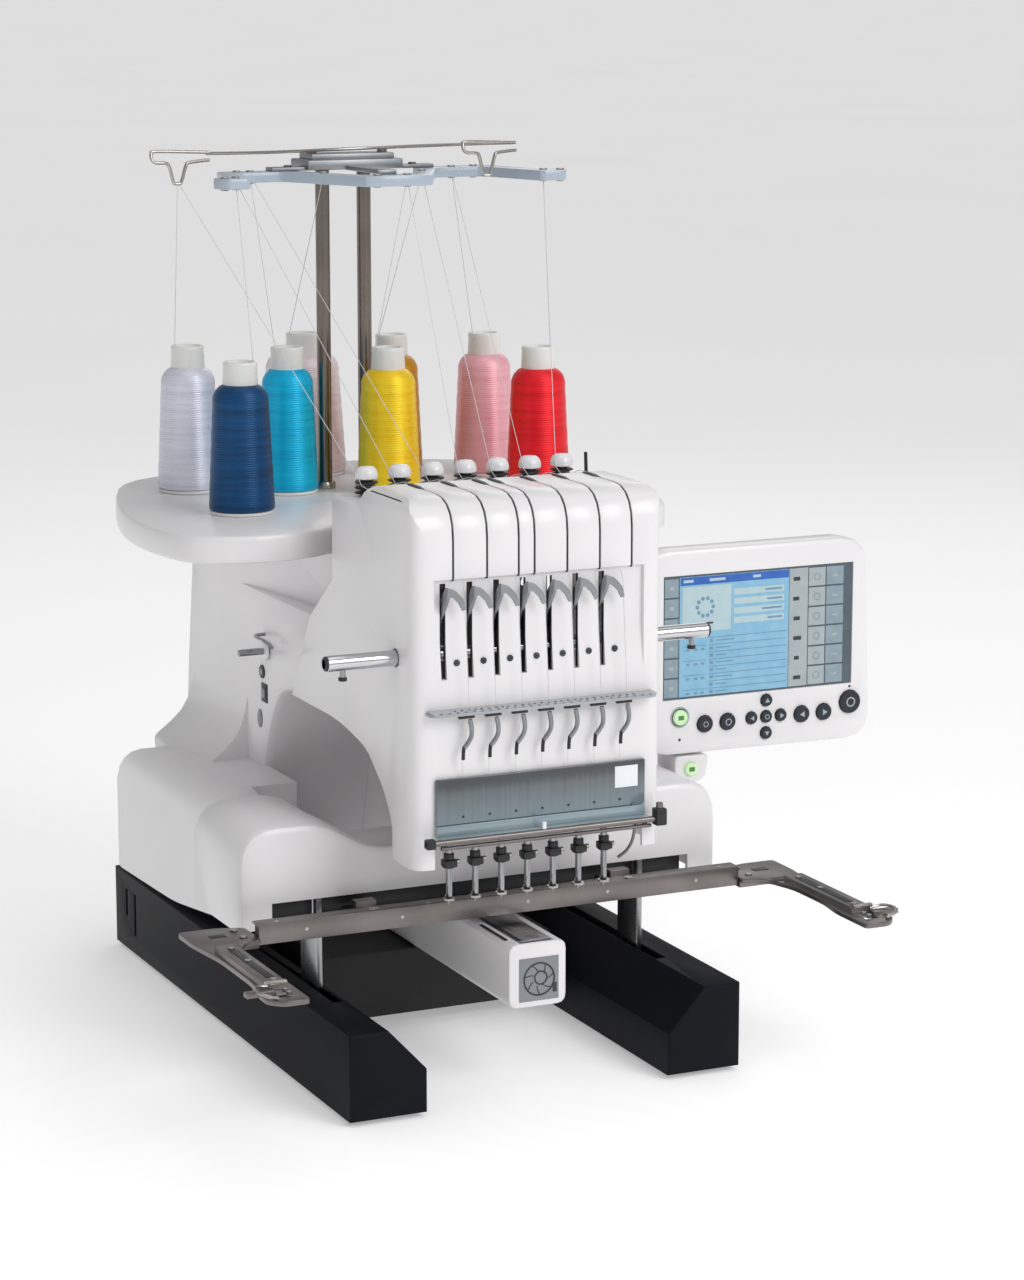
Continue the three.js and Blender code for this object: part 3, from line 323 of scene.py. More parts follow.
# Satin nickel: warm dark grey with reflections blurred along the bars.
dull_nickel = drawn_metal("satin_nickel_plate", "#8F8987", "#6C6765", 0.33, (8, 700, 700))
# Bright nickel: pale warm grey with a sharper reflection.
bright_nickel = drawn_metal("bright_nickel_plate", "#C2BEBA", "#A09B97", 0.26, (700, 10, 700))
# Drawn stainless tube: brownish grey with fine lines up its length.
pole_steel = drawn_metal("drawn_stainless_tube", "#91877F", "#6B625C", 0.22, (900, 900, 5))
# Blackened screws: dark, cool and dull.
dark_steel = drawn_metal("blackened_screw_steel", "#5A6266", "#3E4448", 0.35, (500, 500, 500))
# Ground tool steel: neutral grey with an even, clear shine.
turned_steel = drawn_metal("ground_tool_steel", "#B3B4B6", "#8E8F92", 0.28, (600, 600, 600))
# Sand-blasted steel: pale grey that scatters the light.
grey_steel = drawn_metal("sandblasted_grey_steel", "#A4A7AA", "#85888C", 0.42, (500, 500, 500))
# A single thread: off-white with a faint sheen.
thread_line = wound_thread("polyester_thread_line", "#E2E2E6", "#CFCFD4")
# Panes of a backlit display: flat colours that glow a little, even in shade.
lcd_blue = lit_panel("lcd_backlight_pale_blue", "#8DBAD2", "#6FA6C6", 0.12)
lcd_bar = lit_panel("lcd_title_blue", "#2F66B4", "#1C4A97", 0.25)
lcd_pale = lit_panel("lcd_field_pale", "#B4C8CC", "#A0BAC2", 0.12)
lcd_line = lit_panel("lcd_rule_blue_grey", "#6F93AB", "#5D829C", 0.2)
# Printed touch keys beside it, fainter because less light comes through.
touch_light = lit_panel("touch_key_light_grey", "#A9B2B4", "#949EA1", 0.1)
touch_dark = lit_panel("touch_key_blue_grey", "#8FA0AA", "#778994", 0.1)
touch_rim = lit_panel("touch_key_border", "#56646E", "#434F58", 0.02)
# Button lenses lit from behind: a pale green glow round a darker mark.
green_lens = lit_panel("lit_green_lens", "#CFE6C0", "#B4D9A4", 0.25)
green_mark = lit_panel("lit_green_mark", "#4E8A40", "#3B7434", 0.12)

# Each cone's thread, light and dark.
CONE_THREADS = {
    "dark_blue": ("#004F85", "#00345C"),
    "white": ("#E6E7F2", "#D0D1E0"),
    "cyan": ("#00C4EE", "#00A6D8"),
    "pale_pink": ("#F3E6EA", "#E6D3DA"),
    "yellow": ("#FFE030", "#FACB10"),
    "gold": ("#D69A1C", "#B57A0C"),
    "pink": ("#FAC0C8", "#F0A8B4"),
    "red": ("#FF1E2E", "#D80C1A"),
}


# ---- Shapes, in millimetres from the machine's datum ----
def soften(bm, faces, width, segments=2, angle=30):
    """Rounds the sharp edges of the faces."""
    edges = {e for f in faces for e in f.edges}
    sharp = [
        e for e in edges if len(e.link_faces) == 2 and e.calc_face_angle(0) > math.radians(angle)
    ]
    if sharp and width > 0:
        bmesh.ops.bevel(
            bm, geom=sharp, offset=width, segments=segments, profile=0.5,
            affect="EDGES", clamp_overlap=True, material=-1,
        )


def prism(bm, outline, axis, a0, a1, index=0, round_edges=0.0, segments=2):
    """An outline drawn out along an axis; its two coordinates are the other axes in X, Y, Z order."""
    if axis == "X":
        ends = [[bm.verts.new(Vector((w, u, v))) for u, v in outline] for w in (a0, a1)]
    elif axis == "Y":
        ends = [[bm.verts.new(Vector((u, w, v))) for u, v in outline] for w in (a0, a1)]
    else:
        ends = [[bm.verts.new(Vector((u, v, w))) for u, v in outline] for w in (a0, a1)]
    faces = [bm.faces.new(ends[0]), bm.faces.new(ends[1][::-1])]
    count = len(outline)
    for i in range(count):
        j = (i + 1) % count
        faces.append(bm.faces.new((ends[0][j], ends[0][i], ends[1][i], ends[1][j])))
    for f in faces:
        f.material_index = index
    bmesh.ops.recalc_face_normals(bm, faces=faces)
    soften(bm, faces, round_edges, segments)


def block(bm, x0, x1, y0, y1, z0, z1, index=0, round_edges=0.0):
    """A box between two places on each axis."""
    prism(bm, [(x0, y0), (x1, y0), (x1, y1), (x0, y1)], "Z", z0, z1, index, round_edges)


def lathe(bm, profile, centre, axis=(0, 0, 1), sides=32, index=0):
    """A profile of radius and height, turned about an axis through centre."""
    turn = Vector((0, 0, 1)).rotation_difference(Vector(axis)).to_matrix()
    middle = Vector(centre)
    rings = []
    for radius, height in profile:
        if radius < 1e-6:
            rings.append([bm.verts.new(middle + turn @ Vector((0, 0, height)))])
            continue
        rings.append(
            [
                bm.verts.new(
                    middle
                    + turn @ Vector((radius * math.cos(a), radius * math.sin(a), height))
                )
                for a in (2 * math.pi * k / sides for k in range(sides))
            ]
        )
    for low, high in zip(rings, rings[1:]):
        for k in range(sides):
            j = (k + 1) % sides
            corners = [low[k % len(low)], low[j % len(low)], high[j % len(high)], high[k % len(high)]]
            face = bm.faces.new(list(dict.fromkeys(corners)))
            face.material_index = index
    for ring, way in ((rings[0], -1), (rings[-1], 1)):
        if len(ring) > 1 and rings[0] is not rings[-1]:
            bm.faces.new(ring[::way]).material_index = index


def rod(bm, start, end, radius, index=0, sides=16, edge=0.3):
    """A round bar with chamfered ends."""
    along = Vector(end) - Vector(start)
    length = along.length
    edge = min(edge, radius * 0.6)
    profile = [(radius - edge, 0), (radius, edge), (radius, length - edge), (radius - edge, length)]
    lathe(bm, profile, start, along.normalized(), sides, index)


def smooth_path(points, steps):
    """Points along a Catmull-Rom curve through the given ones."""
    pts = [Vector(p) for p in points]
    pts = [2 * pts[0] - pts[1]] + pts + [2 * pts[-1] - pts[-2]]
    path = []
    for a, b, c, d in zip(pts, pts[1:], pts[2:], pts[3:]):
        for k in range(steps):
            t = k / steps
            path.append(
                0.5
                * (
                    2 * b + (c - a) * t + (2 * a - 5 * b + 4 * c - d) * t * t
                    + (3 * b - a - 3 * c + d) * t**3
                )
            )
    return path + [pts[-2]]


def sweep(bm, points, radius, index=0, sides=8, steps=6):
    """A round wire along a smooth curve through the points."""
    path = smooth_path(points, steps) if steps > 1 else [Vector(p) for p in points]
    side = None
    rings = []
    for k, place in enumerate(path):
        ahead = (path[min(k + 1, len(path) - 1)] - path[max(k - 1, 0)]).normalized()
        if side is None:
            side = ahead.cross(Vector((0, 0, 1) if abs(ahead.z) < 0.9 else (1, 0, 0)))
        side = (side - ahead * side.dot(ahead)).normalized()
        other = ahead.cross(side)
        rings.append(
            [
                bm.verts.new(place + radius * (math.cos(a) * side + math.sin(a) * other))
                for a in (2 * math.pi * j / sides for j in range(sides))
            ]
        )
    for low, high in zip(rings, rings[1:]):
        for k in range(sides):
            j = (k + 1) % sides
            bm.faces.new((low[k], low[j], high[j], high[k])).material_index = index
    bm.faces.new(rings[0][::-1]).material_index = index
    bm.faces.new(rings[-1]).material_index = index


def shown(name, mesh, materials, body, nodes, smooth, place):
    """Makes a mesh a piece that rides on a body; nodes are the CAD nodes it stands for."""
    for m in materials:
        mesh.materials.append(m)
    mesh.polygons.foreach_set("use_smooth", [True] * len(mesh.polygons))
    mesh.set_sharp_from_angle(angle=math.radians(smooth))
    obj = bpy.data.objects.new(name, mesh)
    obj.location = place
    bpy.context.scene.collection.objects.link(obj)
    if body:
        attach(obj, body)
    if nodes:
        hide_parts(*nodes)
    return obj


def piece(name, bm, materials, body, nodes=(), origin=(0, 0, 0), smooth=38):
    """Turns a shape built in millimetres into a piece with its own origin."""
    bmesh.ops.recalc_face_normals(bm, faces=bm.faces[:])
    middle = Vector(origin)
    for v in bm.verts:
        v.co = (v.co - middle) * MM
    mesh = bpy.data.meshes.new(name)
    bm.to_mesh(mesh)
    bm.free()
    return shown(name, mesh, materials, body, nodes, smooth, at(*origin))


CAD_SMOOTH = 33  # degrees; a CAD node's flatter edges are shaded smooth
WELD = 2e-5
FLAT = 0.6  # degrees; facets closer than this are one face


def refined(node, material, body, width, segments=2, angle=30):
    """A CAD node's shape with its moulded edges rounded."""
    bm = bmesh.new()
    bm.from_mesh(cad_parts[node].data)
    bmesh.ops.remove_doubles(bm, verts=bm.verts[:], dist=WELD)
    bmesh.ops.dissolve_limit(
        bm, angle_limit=math.radians(FLAT), verts=bm.verts[:], edges=bm.edges[:]
    )
    soften(bm, bm.faces[:], width * MM, segments, angle)
    bmesh.ops.triangulate(bm, faces=[f for f in bm.faces if len(f.verts) > 4])
    mesh = bpy.data.meshes.new(node + "_body")
    bm.to_mesh(mesh)
    bm.free()
    shown(node + "_body", mesh, [material], body, [node], CAD_SMOOTH, (0, 0, 0))


def dress(node, material):
    """Gives a CAD node that is shown as it is its finish, with curved faces shaded smooth."""
    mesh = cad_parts[node].data
    mesh.materials.clear()
    mesh.materials.append(material)
    mesh.polygons.foreach_set("use_smooth", [True] * len(mesh.polygons))
    mesh.set_sharp_from_angle(angle=math.radians(CAD_SMOOTH))


# ---- Camera ----
CAMERA_PLACE = (-1.239857, -2.711849, 0.922551)
CAMERA_PITCH = 0.194460  # radians below level
CAMERA_YAW = 0.435020  # radians from straight ahead, to the right
CAMERA_LENS = 96.915
SENSOR_WIDTH = 36


def set_camera():
    """A long lens 3 m away, in front of the machine and to its left, looking a little down."""
    data = bpy.data.cameras.new("camera")
    data.sensor_width = SENSOR_WIDTH
    data.lens = CAMERA_LENS
    camera = bpy.data.objects.new("camera", data)
    camera.location = CAMERA_PLACE
    camera.rotation_euler = (math.pi / 2 - CAMERA_PITCH, 0, -CAMERA_YAW)
    bpy.context.scene.collection.objects.link(camera)
    bpy.context.scene.camera = camera


set_camera()

# ---- Feet, frame and covers ----
BASE, HEAD = "machine_base", "needle_head"
for side in ("left", "right"):
    refined(f"{side}_foot", navy_abs, BASE, 1.6)
    refined(f"{side}_side_cover", white_abs, BASE, 2.2)
dress("machine_frame", black_paint)


def case_rail():
    """The chromed rail that the needle case slides on, with its end caps and stop screws."""
    y, z = 57, 371
    half = 172
    stop = 158
    bm = bmesh.new()
    rod(bm, (-half, y, z), (half, y, z), 6.5, 0, 28, 0.6)
    for way in (-1, 1):
        end = way * (half + 2)
        rod(bm, (way * (half - 2), y, z), (end, y, z), 6.0, 1, 24, 0.8)
        rod(bm, (way * (half - 1), y, z), (end, y, z), 4.2, 2, 18, 0.3)
        rod(bm, (way * stop, y, 358), (way * stop, y, 366), 2.4, 2, 16)
        rod(bm, (way * stop, y, 356), (way * stop, y, 359), 3.6, 1, 16)
    piece(
        "case_rail_rod", bm, [chrome_rod, black_nylon, turned_steel],
        BASE, ["case_rail"],
    )


case_rail()


def flank_fittings():
    """Winder guide wire, spool hole and switch plate on the left flank."""
    flank = -104.8
    wire = -116
    bm = bmesh.new()
    sweep(
        bm,
        [
            (flank, 372, 334), (-113, 371, 334), (wire, 364, 334), (wire, 345, 334),
            (wire, 331, 333), (wire, 325, 331),
        ],
        1.6, 0,
    )
    rod(bm, (-106.2, 378, 299), (flank, 378, 299), 6.2, 1, 24)
    rod(bm, (-106.8, 378, 299), (flank, 378, 299), 3.2, 2, 18)
    block(bm, -106, flank, 366, 380, 272, 289, 1, 0.4)
    block(bm, -107.4, -105, 369, 377, 276, 285, 2, 0.8)
    outline = [
        (385 + 5.5 * math.cos(a), 255 + 8.5 * math.sin(a))
        for a in (2 * math.pi * k / 24 for k in range(24))
    ]
    prism(bm, outline, "X", -106, flank, 3, 0.3)
    piece(
        "flank_fittings", bm, [turned_steel, black_nylon, grey_steel, grey_label], BASE
    )


flank_fittings()


def bobbin_winder():
    """The winder's spindle, its flange and its bobbin spring."""
    y, z = 366, 320
    bm = bmesh.new()
    rod(bm, (-94, y, z), (-132.5, y, z), 3.0, 0, 20, 0.6)
    lathe(bm, [(8.4, 0), (8.4, 1.6), (7.6, 2.4), (3.2, 2.6)], (-106.3, y, z), (-1, 0, 0), 32, 1)
    block(bm, -130, -112, y - 1.6, y + 1.6, z + 2.4, z + 3.1, 0, 0.2)
    piece(
        "winder_spindle", bm, [turned_steel, milky_abs], "bobbin_winder", ["bobbin_winder"]
    )


bobbin_winder()

# ---- Free arm ----
refined("free_arm", white_abs, BASE, 1.2)
refined("needle_plate", turned_steel, BASE, 0.3)
refined("rotary_hook", turned_steel, "rotary_hook", 0.8)


def hook_cover():
    """The cover's shell, and a square label with a plain diagram of a bobbin and its spokes."""
    refined("hook_cover", white_abs, "hook_cover", 1.0)
    x, z = 1, 96.5
    face = 23.4
    spokes = 7
    bm = bmesh.new()
    block(bm, -17, 19, 23.35, 23.9, 78, 115, 0, 0.2)
    rim = [(14.5, 0), (14.5, 0.35), (13.1, 0.35), (13.1, 0)]
    lathe(bm, rim, (x, face, z), (0, -1, 0), 40, 1)
    hub = [(6.2, 0), (6.2, 0.35), (5.0, 0.35), (5.0, 0)]
    lathe(bm, hub, (x + 1.5, face, z + 1), (0, -1, 0), 28, 1)
    for k in range(spokes):
        a = 0.5 + k * 2 * math.pi / spokes
        spoke = [
            (x + r * math.cos(a + 0.05 * r), face - 0.2, z + r * math.sin(a + 0.05 * r))
            for r in (6.0, 8.6, 11.2, 13.4)
        ]
        sweep(bm, spoke, 0.4, 1, 6, 3)
    block(bm, 13.5, 17, face - 0.5, face, 84, 92, 1, 0.1)
    piece("threading_label", bm, [grey_label, dark_ink], "hook_cover")


hook_cover()


def arm_slots():
    """Black strips along the left edge of the free arm's top, painted shade standing for its guide slots.
    """
    bm = bmesh.new()
    block(bm, -22.5, -19.5, 40, 92, 127.7, 128.4, 0, 0.3)
    block(bm, -14.2, -10.5, 31, 118, 128.2, 128.7, 0, 0.2)
    piece("free_arm_slots", bm, [black_nylon], BASE)


arm_slots()

# ---- Needle case ----
refined("needle_case", white_abs, HEAD, 1.0)
RECESS_HALF = 94
RECESS_TOP = 438
RECESS_FLOOR = 24
SCREW_FACE = 20.9  # the recess floor slopes forwards here
GROOVES = [-77, -47.2, -19.2, -5.1, 24.2, 53.6, 82.6]


def groove_path(depth):
    """The line of a thread groove, a depth below the case's front and top and round its shoulder."""
    front, top = 20 + depth, 503 - depth
    shoulder = 33.5
    steps = 9
    path = [(front, RECESS_TOP - 1), (front, 452), (front, top - shoulder)]
    for k in range(1, steps):
        t = k / steps
        path.append((front + shoulder * t * t, top - shoulder * (1 - t) ** 2))
    return path + [(front + shoulder, top), (80, top), (107, top)]


def groove_shade_strips():
    """Black strips in the thread grooves and the take-up slits, painted shade where they are deep, and a
    screw beside each slit with a black strip of painted shade for its slot.
    """
    bm = bmesh.new()
    groove_shade = groove_path(1.0) + groove_path(2.3)[::-1]
    # Each groove holds a black strip: painted shade along the groove.
    for x in GROOVES:
        prism(bm, groove_shade, "X", x - 0.85, x + 0.85, 0)
    for x in NEEDLE_X:
        slit = x + SLIT_OFFSET
        # Black strips at the slit's sides and a black sheet behind it: painted shade inside the slit.
        for way in (-1, 1):
            block(
                bm, slit + way * 2.1 - 0.35, slit + way * 2.1 + 0.35,
                RECESS_FLOOR - 0.1, RECESS_FLOOR + 2.4, 357.3, 434.7, 0,
            )
        block(bm, slit - 2.4, slit + 2.4, 47.6, 49.4, 352, 441, 0)
        rod(bm, (x - 2.6, SCREW_FACE, 370), (x - 2.6, RECESS_FLOOR, 370), 2.7, 2, 20)
        # The screw's slot is a black strip of painted shade.
        block(bm, x - 4.4, x - 0.8, SCREW_FACE - 0.15, SCREW_FACE + 0.3, 369.6, 370.4, 0)
    piece("thread_slots", bm, [black_nylon, turned_steel, dark_steel], HEAD, smooth=30)


groove_shade_strips()


def recess_frame():
    """The step round the take-up recess."""
    face, floor = 19.4, 24.2
    inner, outer = RECESS_HALF - 1.4, RECESS_HALF + 0.2
    bm = bmesh.new()
    block(bm, -RECESS_HALF, RECESS_HALF, face, floor, RECESS_TOP - 1, RECESS_TOP + 0.3, 0, 0.3)
    block(bm, inner, outer, face, floor, 345, RECESS_TOP, 0, 0.3)
    block(bm, -outer, -inner, face, floor, 345, RECESS_TOP, 0, 0.3)
    piece("recess_frame", bm, [white_abs], HEAD)


def thread_holder():
    """The smoked shield, its thick lower edge, the thread-holder bar and the bent wire at its end."""
    half = 94
    bm = bmesh.new()
    block(bm, -half, half, 15.6, 19.6, 238, 276, 0, 0.8)
    block(bm, -half, half, 14.6, 19.6, 229, 237.6, 1, 0.8)
    block(bm, -half, half, 6.2, 19, 226.4, 229.4, 1, 0.8)
    rod(bm, (-108, 6.4, 226.5), (106, 6.4, 226.5), 2.6, 2, 20, 0.5)
    rod(bm, (-92, 12, 220), (98, 12, 220), 1.7, 2, 16, 0.4)
    for x in (-90, 92):
        block(bm, x - 2, x + 2, 10.6, 13.4, 218.6, 228, 3, 0.4)
    rod(bm, (-3, 6, 229), (-3, 6, 235), 2.0, 4, 14)
    sweep(
        bm,
        [(82, 16, 240), (85, 17, 228), (86, 18, 218), (84, 19, 206), (79, 20, 198), (72, 21, 193)],
        1.4, 2, 10, 4,
    )
    block(bm, 98, 108, 1.5, 11.5, 221, 235.5, 3, 1.4)
    rod(bm, (103, 6.5, 235), (103, 6.5, 240), 3.0, 2, 16)
    block(bm, -108, -100, 2.5, 10.5, 222.5, 230.5, 3, 1.2)
    block(bm, 66, 87, 15.2, 15.7, 254, 272, 4, 0.15)
    for x in NEEDLE_X:
        rod(bm, (x, 15.3, 244), (x, 15.8, 244), 1.1, 3, 12, 0.1)
    piece(
        "thread_holder_shield", bm,
        [smoked_pc, smoked_edge, dull_nickel, black_nylon, vinyl_label],
        HEAD, ["thread_holder"],
    )


def upper_guide():
    """The upper thread guide: a scalloped strip with a wire hook for each needle."""
    corner = [(102, 19.6), (102, 12), (99, 7.5), (94, 6.2)]
    half = 101
    teeth = 28
    bm = bmesh.new()
    outline = [(-x, y) for x, y in corner] + corner[::-1]
    prism(bm, outline, "Z", 329.2, 331.6, 2, 0.5)
    scallops = [(-half, 19.4)]
    for k in range(teeth):
        mid = -half + 2 * half * (k + 0.5) / teeth
        scallops += [(mid - 3.1, 8.4), (mid - 2.2, 7.0), (mid + 2.2, 7.0), (mid + 3.1, 8.4)]
    prism(bm, scallops + [(half, 19.4)], "Z", 331.4, 333.0, 2)
    for x in NEEDLE_X:
        block(bm, x - 6, x + 8, 9.6, 13, 326.2, 329.3, 1, 0.5)
        for dx in (-9.5, -3, 3.5, 9):
            rod(bm, (x + dx, 10.4, 332.8), (x + dx, 10.4, 333.3), 1.1, 1, 12, 0.1)
        hook = [
            (x + 4, 11, 325), (x + 5.4, 10.9, 318), (x + 5.2, 11, 311), (x + 2, 11, 305.5),
            (x - 1.2, 11, 302),
        ]
        sweep(bm, hook, 1.9, 0, 10, 5)
        sweep(bm, [(x - 1.2, 11, 303), (x - 1.8, 11, 298), (x - 2, 11, 292.4)], 1.5, 1, 10, 4)
    piece(
        "upper_guide_strip", bm, [grey_steel, black_nylon, grey_enamel],
        HEAD, ["upper_thread_guide"],
    )


thread_holder()
upper_guide()


NEEDLE_Y = 45


def needle_bar(i):
    """A needle bar with its clamp and screw, its needle, and its presser foot."""
    x, y = NEEDLE_X[i], NEEDLE_Y
    bm = bmesh.new()
    rod(bm, (x, y, 196), (x, y, 337.5), 2.9, 0, 20)
    lathe(
        bm, [(4.6, 194.5), (5.6, 195.5), (5.6, 201), (4.4, 202), (4.4, 206.5), (3.2, 207)],
        (x, y, 0), sides=24, index=1,
    )
    block(bm, x - 5.4, x + 5.4, y - 6, y + 4.6, 195.5, 201.5, 1, 0.8)
    rod(bm, (x + 4.6, y, 199), (x + 9.4, y, 199), 2.1, 2, 14)
    rod(bm, (x, y, 179), (x, y, 196), 1.7, 0, 14)
    needle = [(0.95, 0), (0.95, 6), (0.62, 8), (0.55, 14), (0.08, 17)]
    lathe(bm, needle, (x, y, 179.2), (0, 0, -1), 10, 0)
    block(bm, x - 0.8, x + 4.4, y + 2.8, y + 4.9, 168.5, 198, 0, 0.5)
    foot = [(4.9, 0), (4.9, 1.6), (2.7, 1.6), (2.7, 0), (4.9, 0)]
    lathe(bm, foot, (x, y, 167.2), sides=24, index=2)
    block(bm, x - 1.6, x + 3.2, y + 3.6, y + 4.9, 167.4, 171, 2, 0.4)
    piece(
        f"needle_bar_set_{i + 1}", bm, [turned_steel, black_nylon, bright_nickel],
        f"needle_bar_{i + 1}", [f"needle_bar_{i + 1}"],
    )


KNOB_Y = 168


def tension_knob(i):
    """A tension dial: a ribbed white cap over three black discs and their spring."""
    x, y = KNOB_X[i], KNOB_Y
    ribs = 10
    bm = bmesh.new()
    cap = [
        (0, 500.5), (8.2, 500.6), (9.3, 501.2), (9.6, 503), (9.2, 506.4), (8.0, 509), (5.6, 510.8),
        (0, 511.2),
    ]
    lathe(bm, cap, (x, y, 0), sides=36, index=0)
    for z in (488.4, 492.6, 497.0):
        disc = [(0, z), (9.3, z), (10.2, z + 0.7), (9.3, z + 1.5), (0, z + 1.5)]
        lathe(bm, disc, (x, y, 0), sides=32, index=1)
    rod(bm, (x, y, 486.4), (x, y, 500.8), 5.0, 1, 20)
    spring = [
        (x + 7 * math.cos(a), y + 7 * math.sin(a), 493.6 + 0.22 * k)
        for k, a in enumerate(2 * math.pi * k / 8 for k in range(16))
    ]
    sweep(bm, spring, 0.5, 2, 6, 1)
    for k in range(ribs):
        a = 2 * math.pi * k / ribs
        rib = (x + 9.0 * math.cos(a), y + 9.0 * math.sin(a))
        rod(bm, (*rib, 501.4), (*rib, 505.4), 0.8, 0, 8)
    piece(
        f"tension_dial_{i + 1}", bm, [milky_abs, black_nylon, grey_steel],
        f"tension_knob_{i + 1}", [f"tension_knob_{i + 1}"],
    )


for i in range(NEEDLES):
    needle_bar(i)
    tension_knob(i)
    refined(f"take_up_lever_{i + 1}", grey_steel, f"take_up_lever_{i + 1}", 0.45)


def deck_fittings():
    """Thread springs before the tension dials, the pin at their right end and the groove guides."""
    bm = bmesh.new()
    for x in KNOB_X:
        spring = [
            (x + 6, 150, 486), (x + 6, 149, 491), (x + 2, 148, 493), (x - 5, 149, 491),
            (x - 6, 151, 486.4),
        ]
        sweep(bm, spring, 0.8, 0, 8, 5)
        block(bm, x - 8, x + 8, 138.5, 146, 486, 487.6, 1, 0.5)
    rod(bm, (106, 152, 486), (103.5, 149, 514), 1.5, 2, 14)
    guide = [(76, 502.3), (107.6, 502.3), (107.6, 504.2), (90, 504.2)]
    for x in GROOVES:
        prism(bm, guide, "X", x - 2.1, x + 2.1, 2, 0.3)
    piece("deck_fittings", bm, [bright_nickel, milky_abs, black_nylon], HEAD)


deck_fittings()

# ---- Carriage and hoop arms ----
CARRIAGE, HOOP = "y_carriage", "hoop_frame"
refined("carriage_cover", white_abs, CARRIAGE, 1.6)
refined("carriage_frame", turned_steel, CARRIAGE, 0.6)


def carriage_slit_shade():
    """A black sheet behind the carriage's slit, painted shade in three stretches between its posts."""
    bm = bmesh.new()
    # Black sheets of painted shade inside the slit.
    for x0, x1 in ((-193, -153.4), (-146.6, 146.6), (153.4, 193)):
        block(bm, x0, x1, 141.4, 142.4, 134.6, 160, 0, 0.2)
    for way in (-1, 1):
        rod(bm, (way * 100, 143.6, 150), (way * 146, 143.6, 150), 1.1, 1, 12)
    piece("carriage_slit_shade", bm, [black_nylon, turned_steel], CARRIAGE)


carriage_slit_shade()


def hoop_bar():
    """The bar that carries the hoop arms, with its screws and thumb nuts."""
    refined("hoop_bar", dull_nickel, HOOP, 0.5)
    bm = bmesh.new()
    for x in (-205, -70, 70, 205):
        rod(bm, (x, 90, 152.9), (x, 90, 153.5), 2.6, 0, 20, 0.2)
    for way in (-1, 1):
        rod(bm, (way * 118, 92, 152.8), (way * 118, 92, 153.9), 4.2, 1, 24, 0.4)
    for x in (-180, -95, 20, 95, 180):
        rod(bm, (x, 86.2, 145), (x, 85.5, 145), 1.6, 1, 16, 0.15)
    piece("hoop_bar_screws", bm, [turned_steel, bright_nickel], HOOP)


hoop_bar()


def hoop_arm(name, way):
    """An arm with its screws, black strips of painted shade for its channel and slots, and spring clip; way
    is -1 on the left and 1 on the right.
    """
    refined(f"{name}_hoop_arm", dull_nickel, HOOP, 0.4)
    bm = bmesh.new()
    for y in (-46, 10, 48):
        rod(bm, (way * 260, y, 147.8), (way * 260, y, 149.2), 3.0, 0, 20, 0.4)
    # A black strip along the top and two black pads: painted shade for the channel and slots.
    block(bm, way * 260 - 3.4, way * 260 + 3.4, -40, 42, 147.6, 148.5, 2, 0.2)
    for y0, y1 in ((60, 72), (98, 106)):
        block(bm, way * 252 - 7, way * 252 + 7, y0, y1, 142.9, 143.4, 2, 0.4)
    for y in (-74, -66):
        rod(bm, (way * 258, y, 143), (way * 258, y, 146.4), 2.2, 0, 16, 0.3)
    for y in (90, 112):
        rod(bm, (way * 234, y, 142.8), (way * 234, y, 144.4), 3.2, 0, 20, 0.4)
    spring = [(270, -58, 147), (279, -60, 148.5), (284, -70, 148.5), (280, -80, 147), (270, -82, 144)]
    sweep(bm, [(way * x, y, z) for x, y, z in spring], 1.3, 1, 8, 5)
    block(bm, way * 262 - 9, way * 262 + 9, -58, -54, 147.6, 150.2, 1, 0.5)
    piece(f"{name}_hoop_clip", bm, [turned_steel, bright_nickel, black_nylon], HOOP)


hoop_arm("left", -1)
hoop_arm("right", 1)

# ---- Spool tray and cones ----
refined("spool_tray", white_abs, BASE, 0.8, 2, 35)


CONE_BORE = 5.2
WAIST = (7, 100)  # the heights between which a cone's side runs straight


def thread_cone(colour):
    """A cone of thread: its winding, the rim under it and the frosted cap on top."""
    node = f"{colour}_cone"
    low, high = corners(node)
    x, y, _ = (low + high) / 2
    place = (x, y, low.z)
    girth = (high.x - low.x) / 2
    thread = wound_thread(f"polyester_on_cone_{colour}", *CONE_THREADS[colour])
    bm = bmesh.new()
    foot, top = girth * 0.95, girth * 0.8
    body = [(CONE_BORE, 3.0), (foot - 2.0, 3.0), (foot - 0.3, 4.2), (foot, WAIST[0])]
    layers = 12
    for k in range(1, layers + 1):
        t = k / layers
        winding = 0.16 * (-1) ** k
        body.append((foot + (top - foot) * t + winding, WAIST[0] + (WAIST[1] - WAIST[0]) * t))
    body += [(top - 0.6, 103), (top - 2.6, 107), (top - 6, 110.5), (15, 112), (CONE_BORE, 112)]
    lathe(bm, body, place, sides=64, index=0)
    rim = [
        (CONE_BORE, 0), (foot - 1.6, 0), (foot - 0.8, 0.9), (foot - 0.8, 2.6), (foot - 2, 3.1),
        (CONE_BORE, 3.1),
    ]
    lathe(bm, rim, place, sides=64, index=1)
    cap = [
        (CONE_BORE, 111.5), (14.8, 111.5), (15.3, 112.6), (14.6, 127.6), (15.0, 129.4),
        (14.4, 131.4), (13.2, 131.8), (11.8, 131.6), (10.8, 130.2), (9.2, 126), (5.6, 124),
        (CONE_BORE, 124),
    ]
    lathe(bm, cap, place, sides=48, index=1)
    piece(
        f"{colour}_thread_cone", bm, [thread, clear_cap], BASE, [node], place
    )


for colour in CONE_THREADS:
    thread_cone(colour)

# ---- Thread stand ----
GUIDE_Z = 736
LEFT_REACH = 0.9  # the plate's left half is shorter than its right
POLE_X, POLE_Y = 20, 435
# Where each thread passes through the guide plate.
EYELETS = {
    "white": (-186, 352), "dark_blue": (-138, 339), "cyan": (-96, 416), "pale_pink": (-44, 372),
    "yellow": (14, 321), "gold": (50, 372), "pink": (98, 416), "red": (154, 340),
}


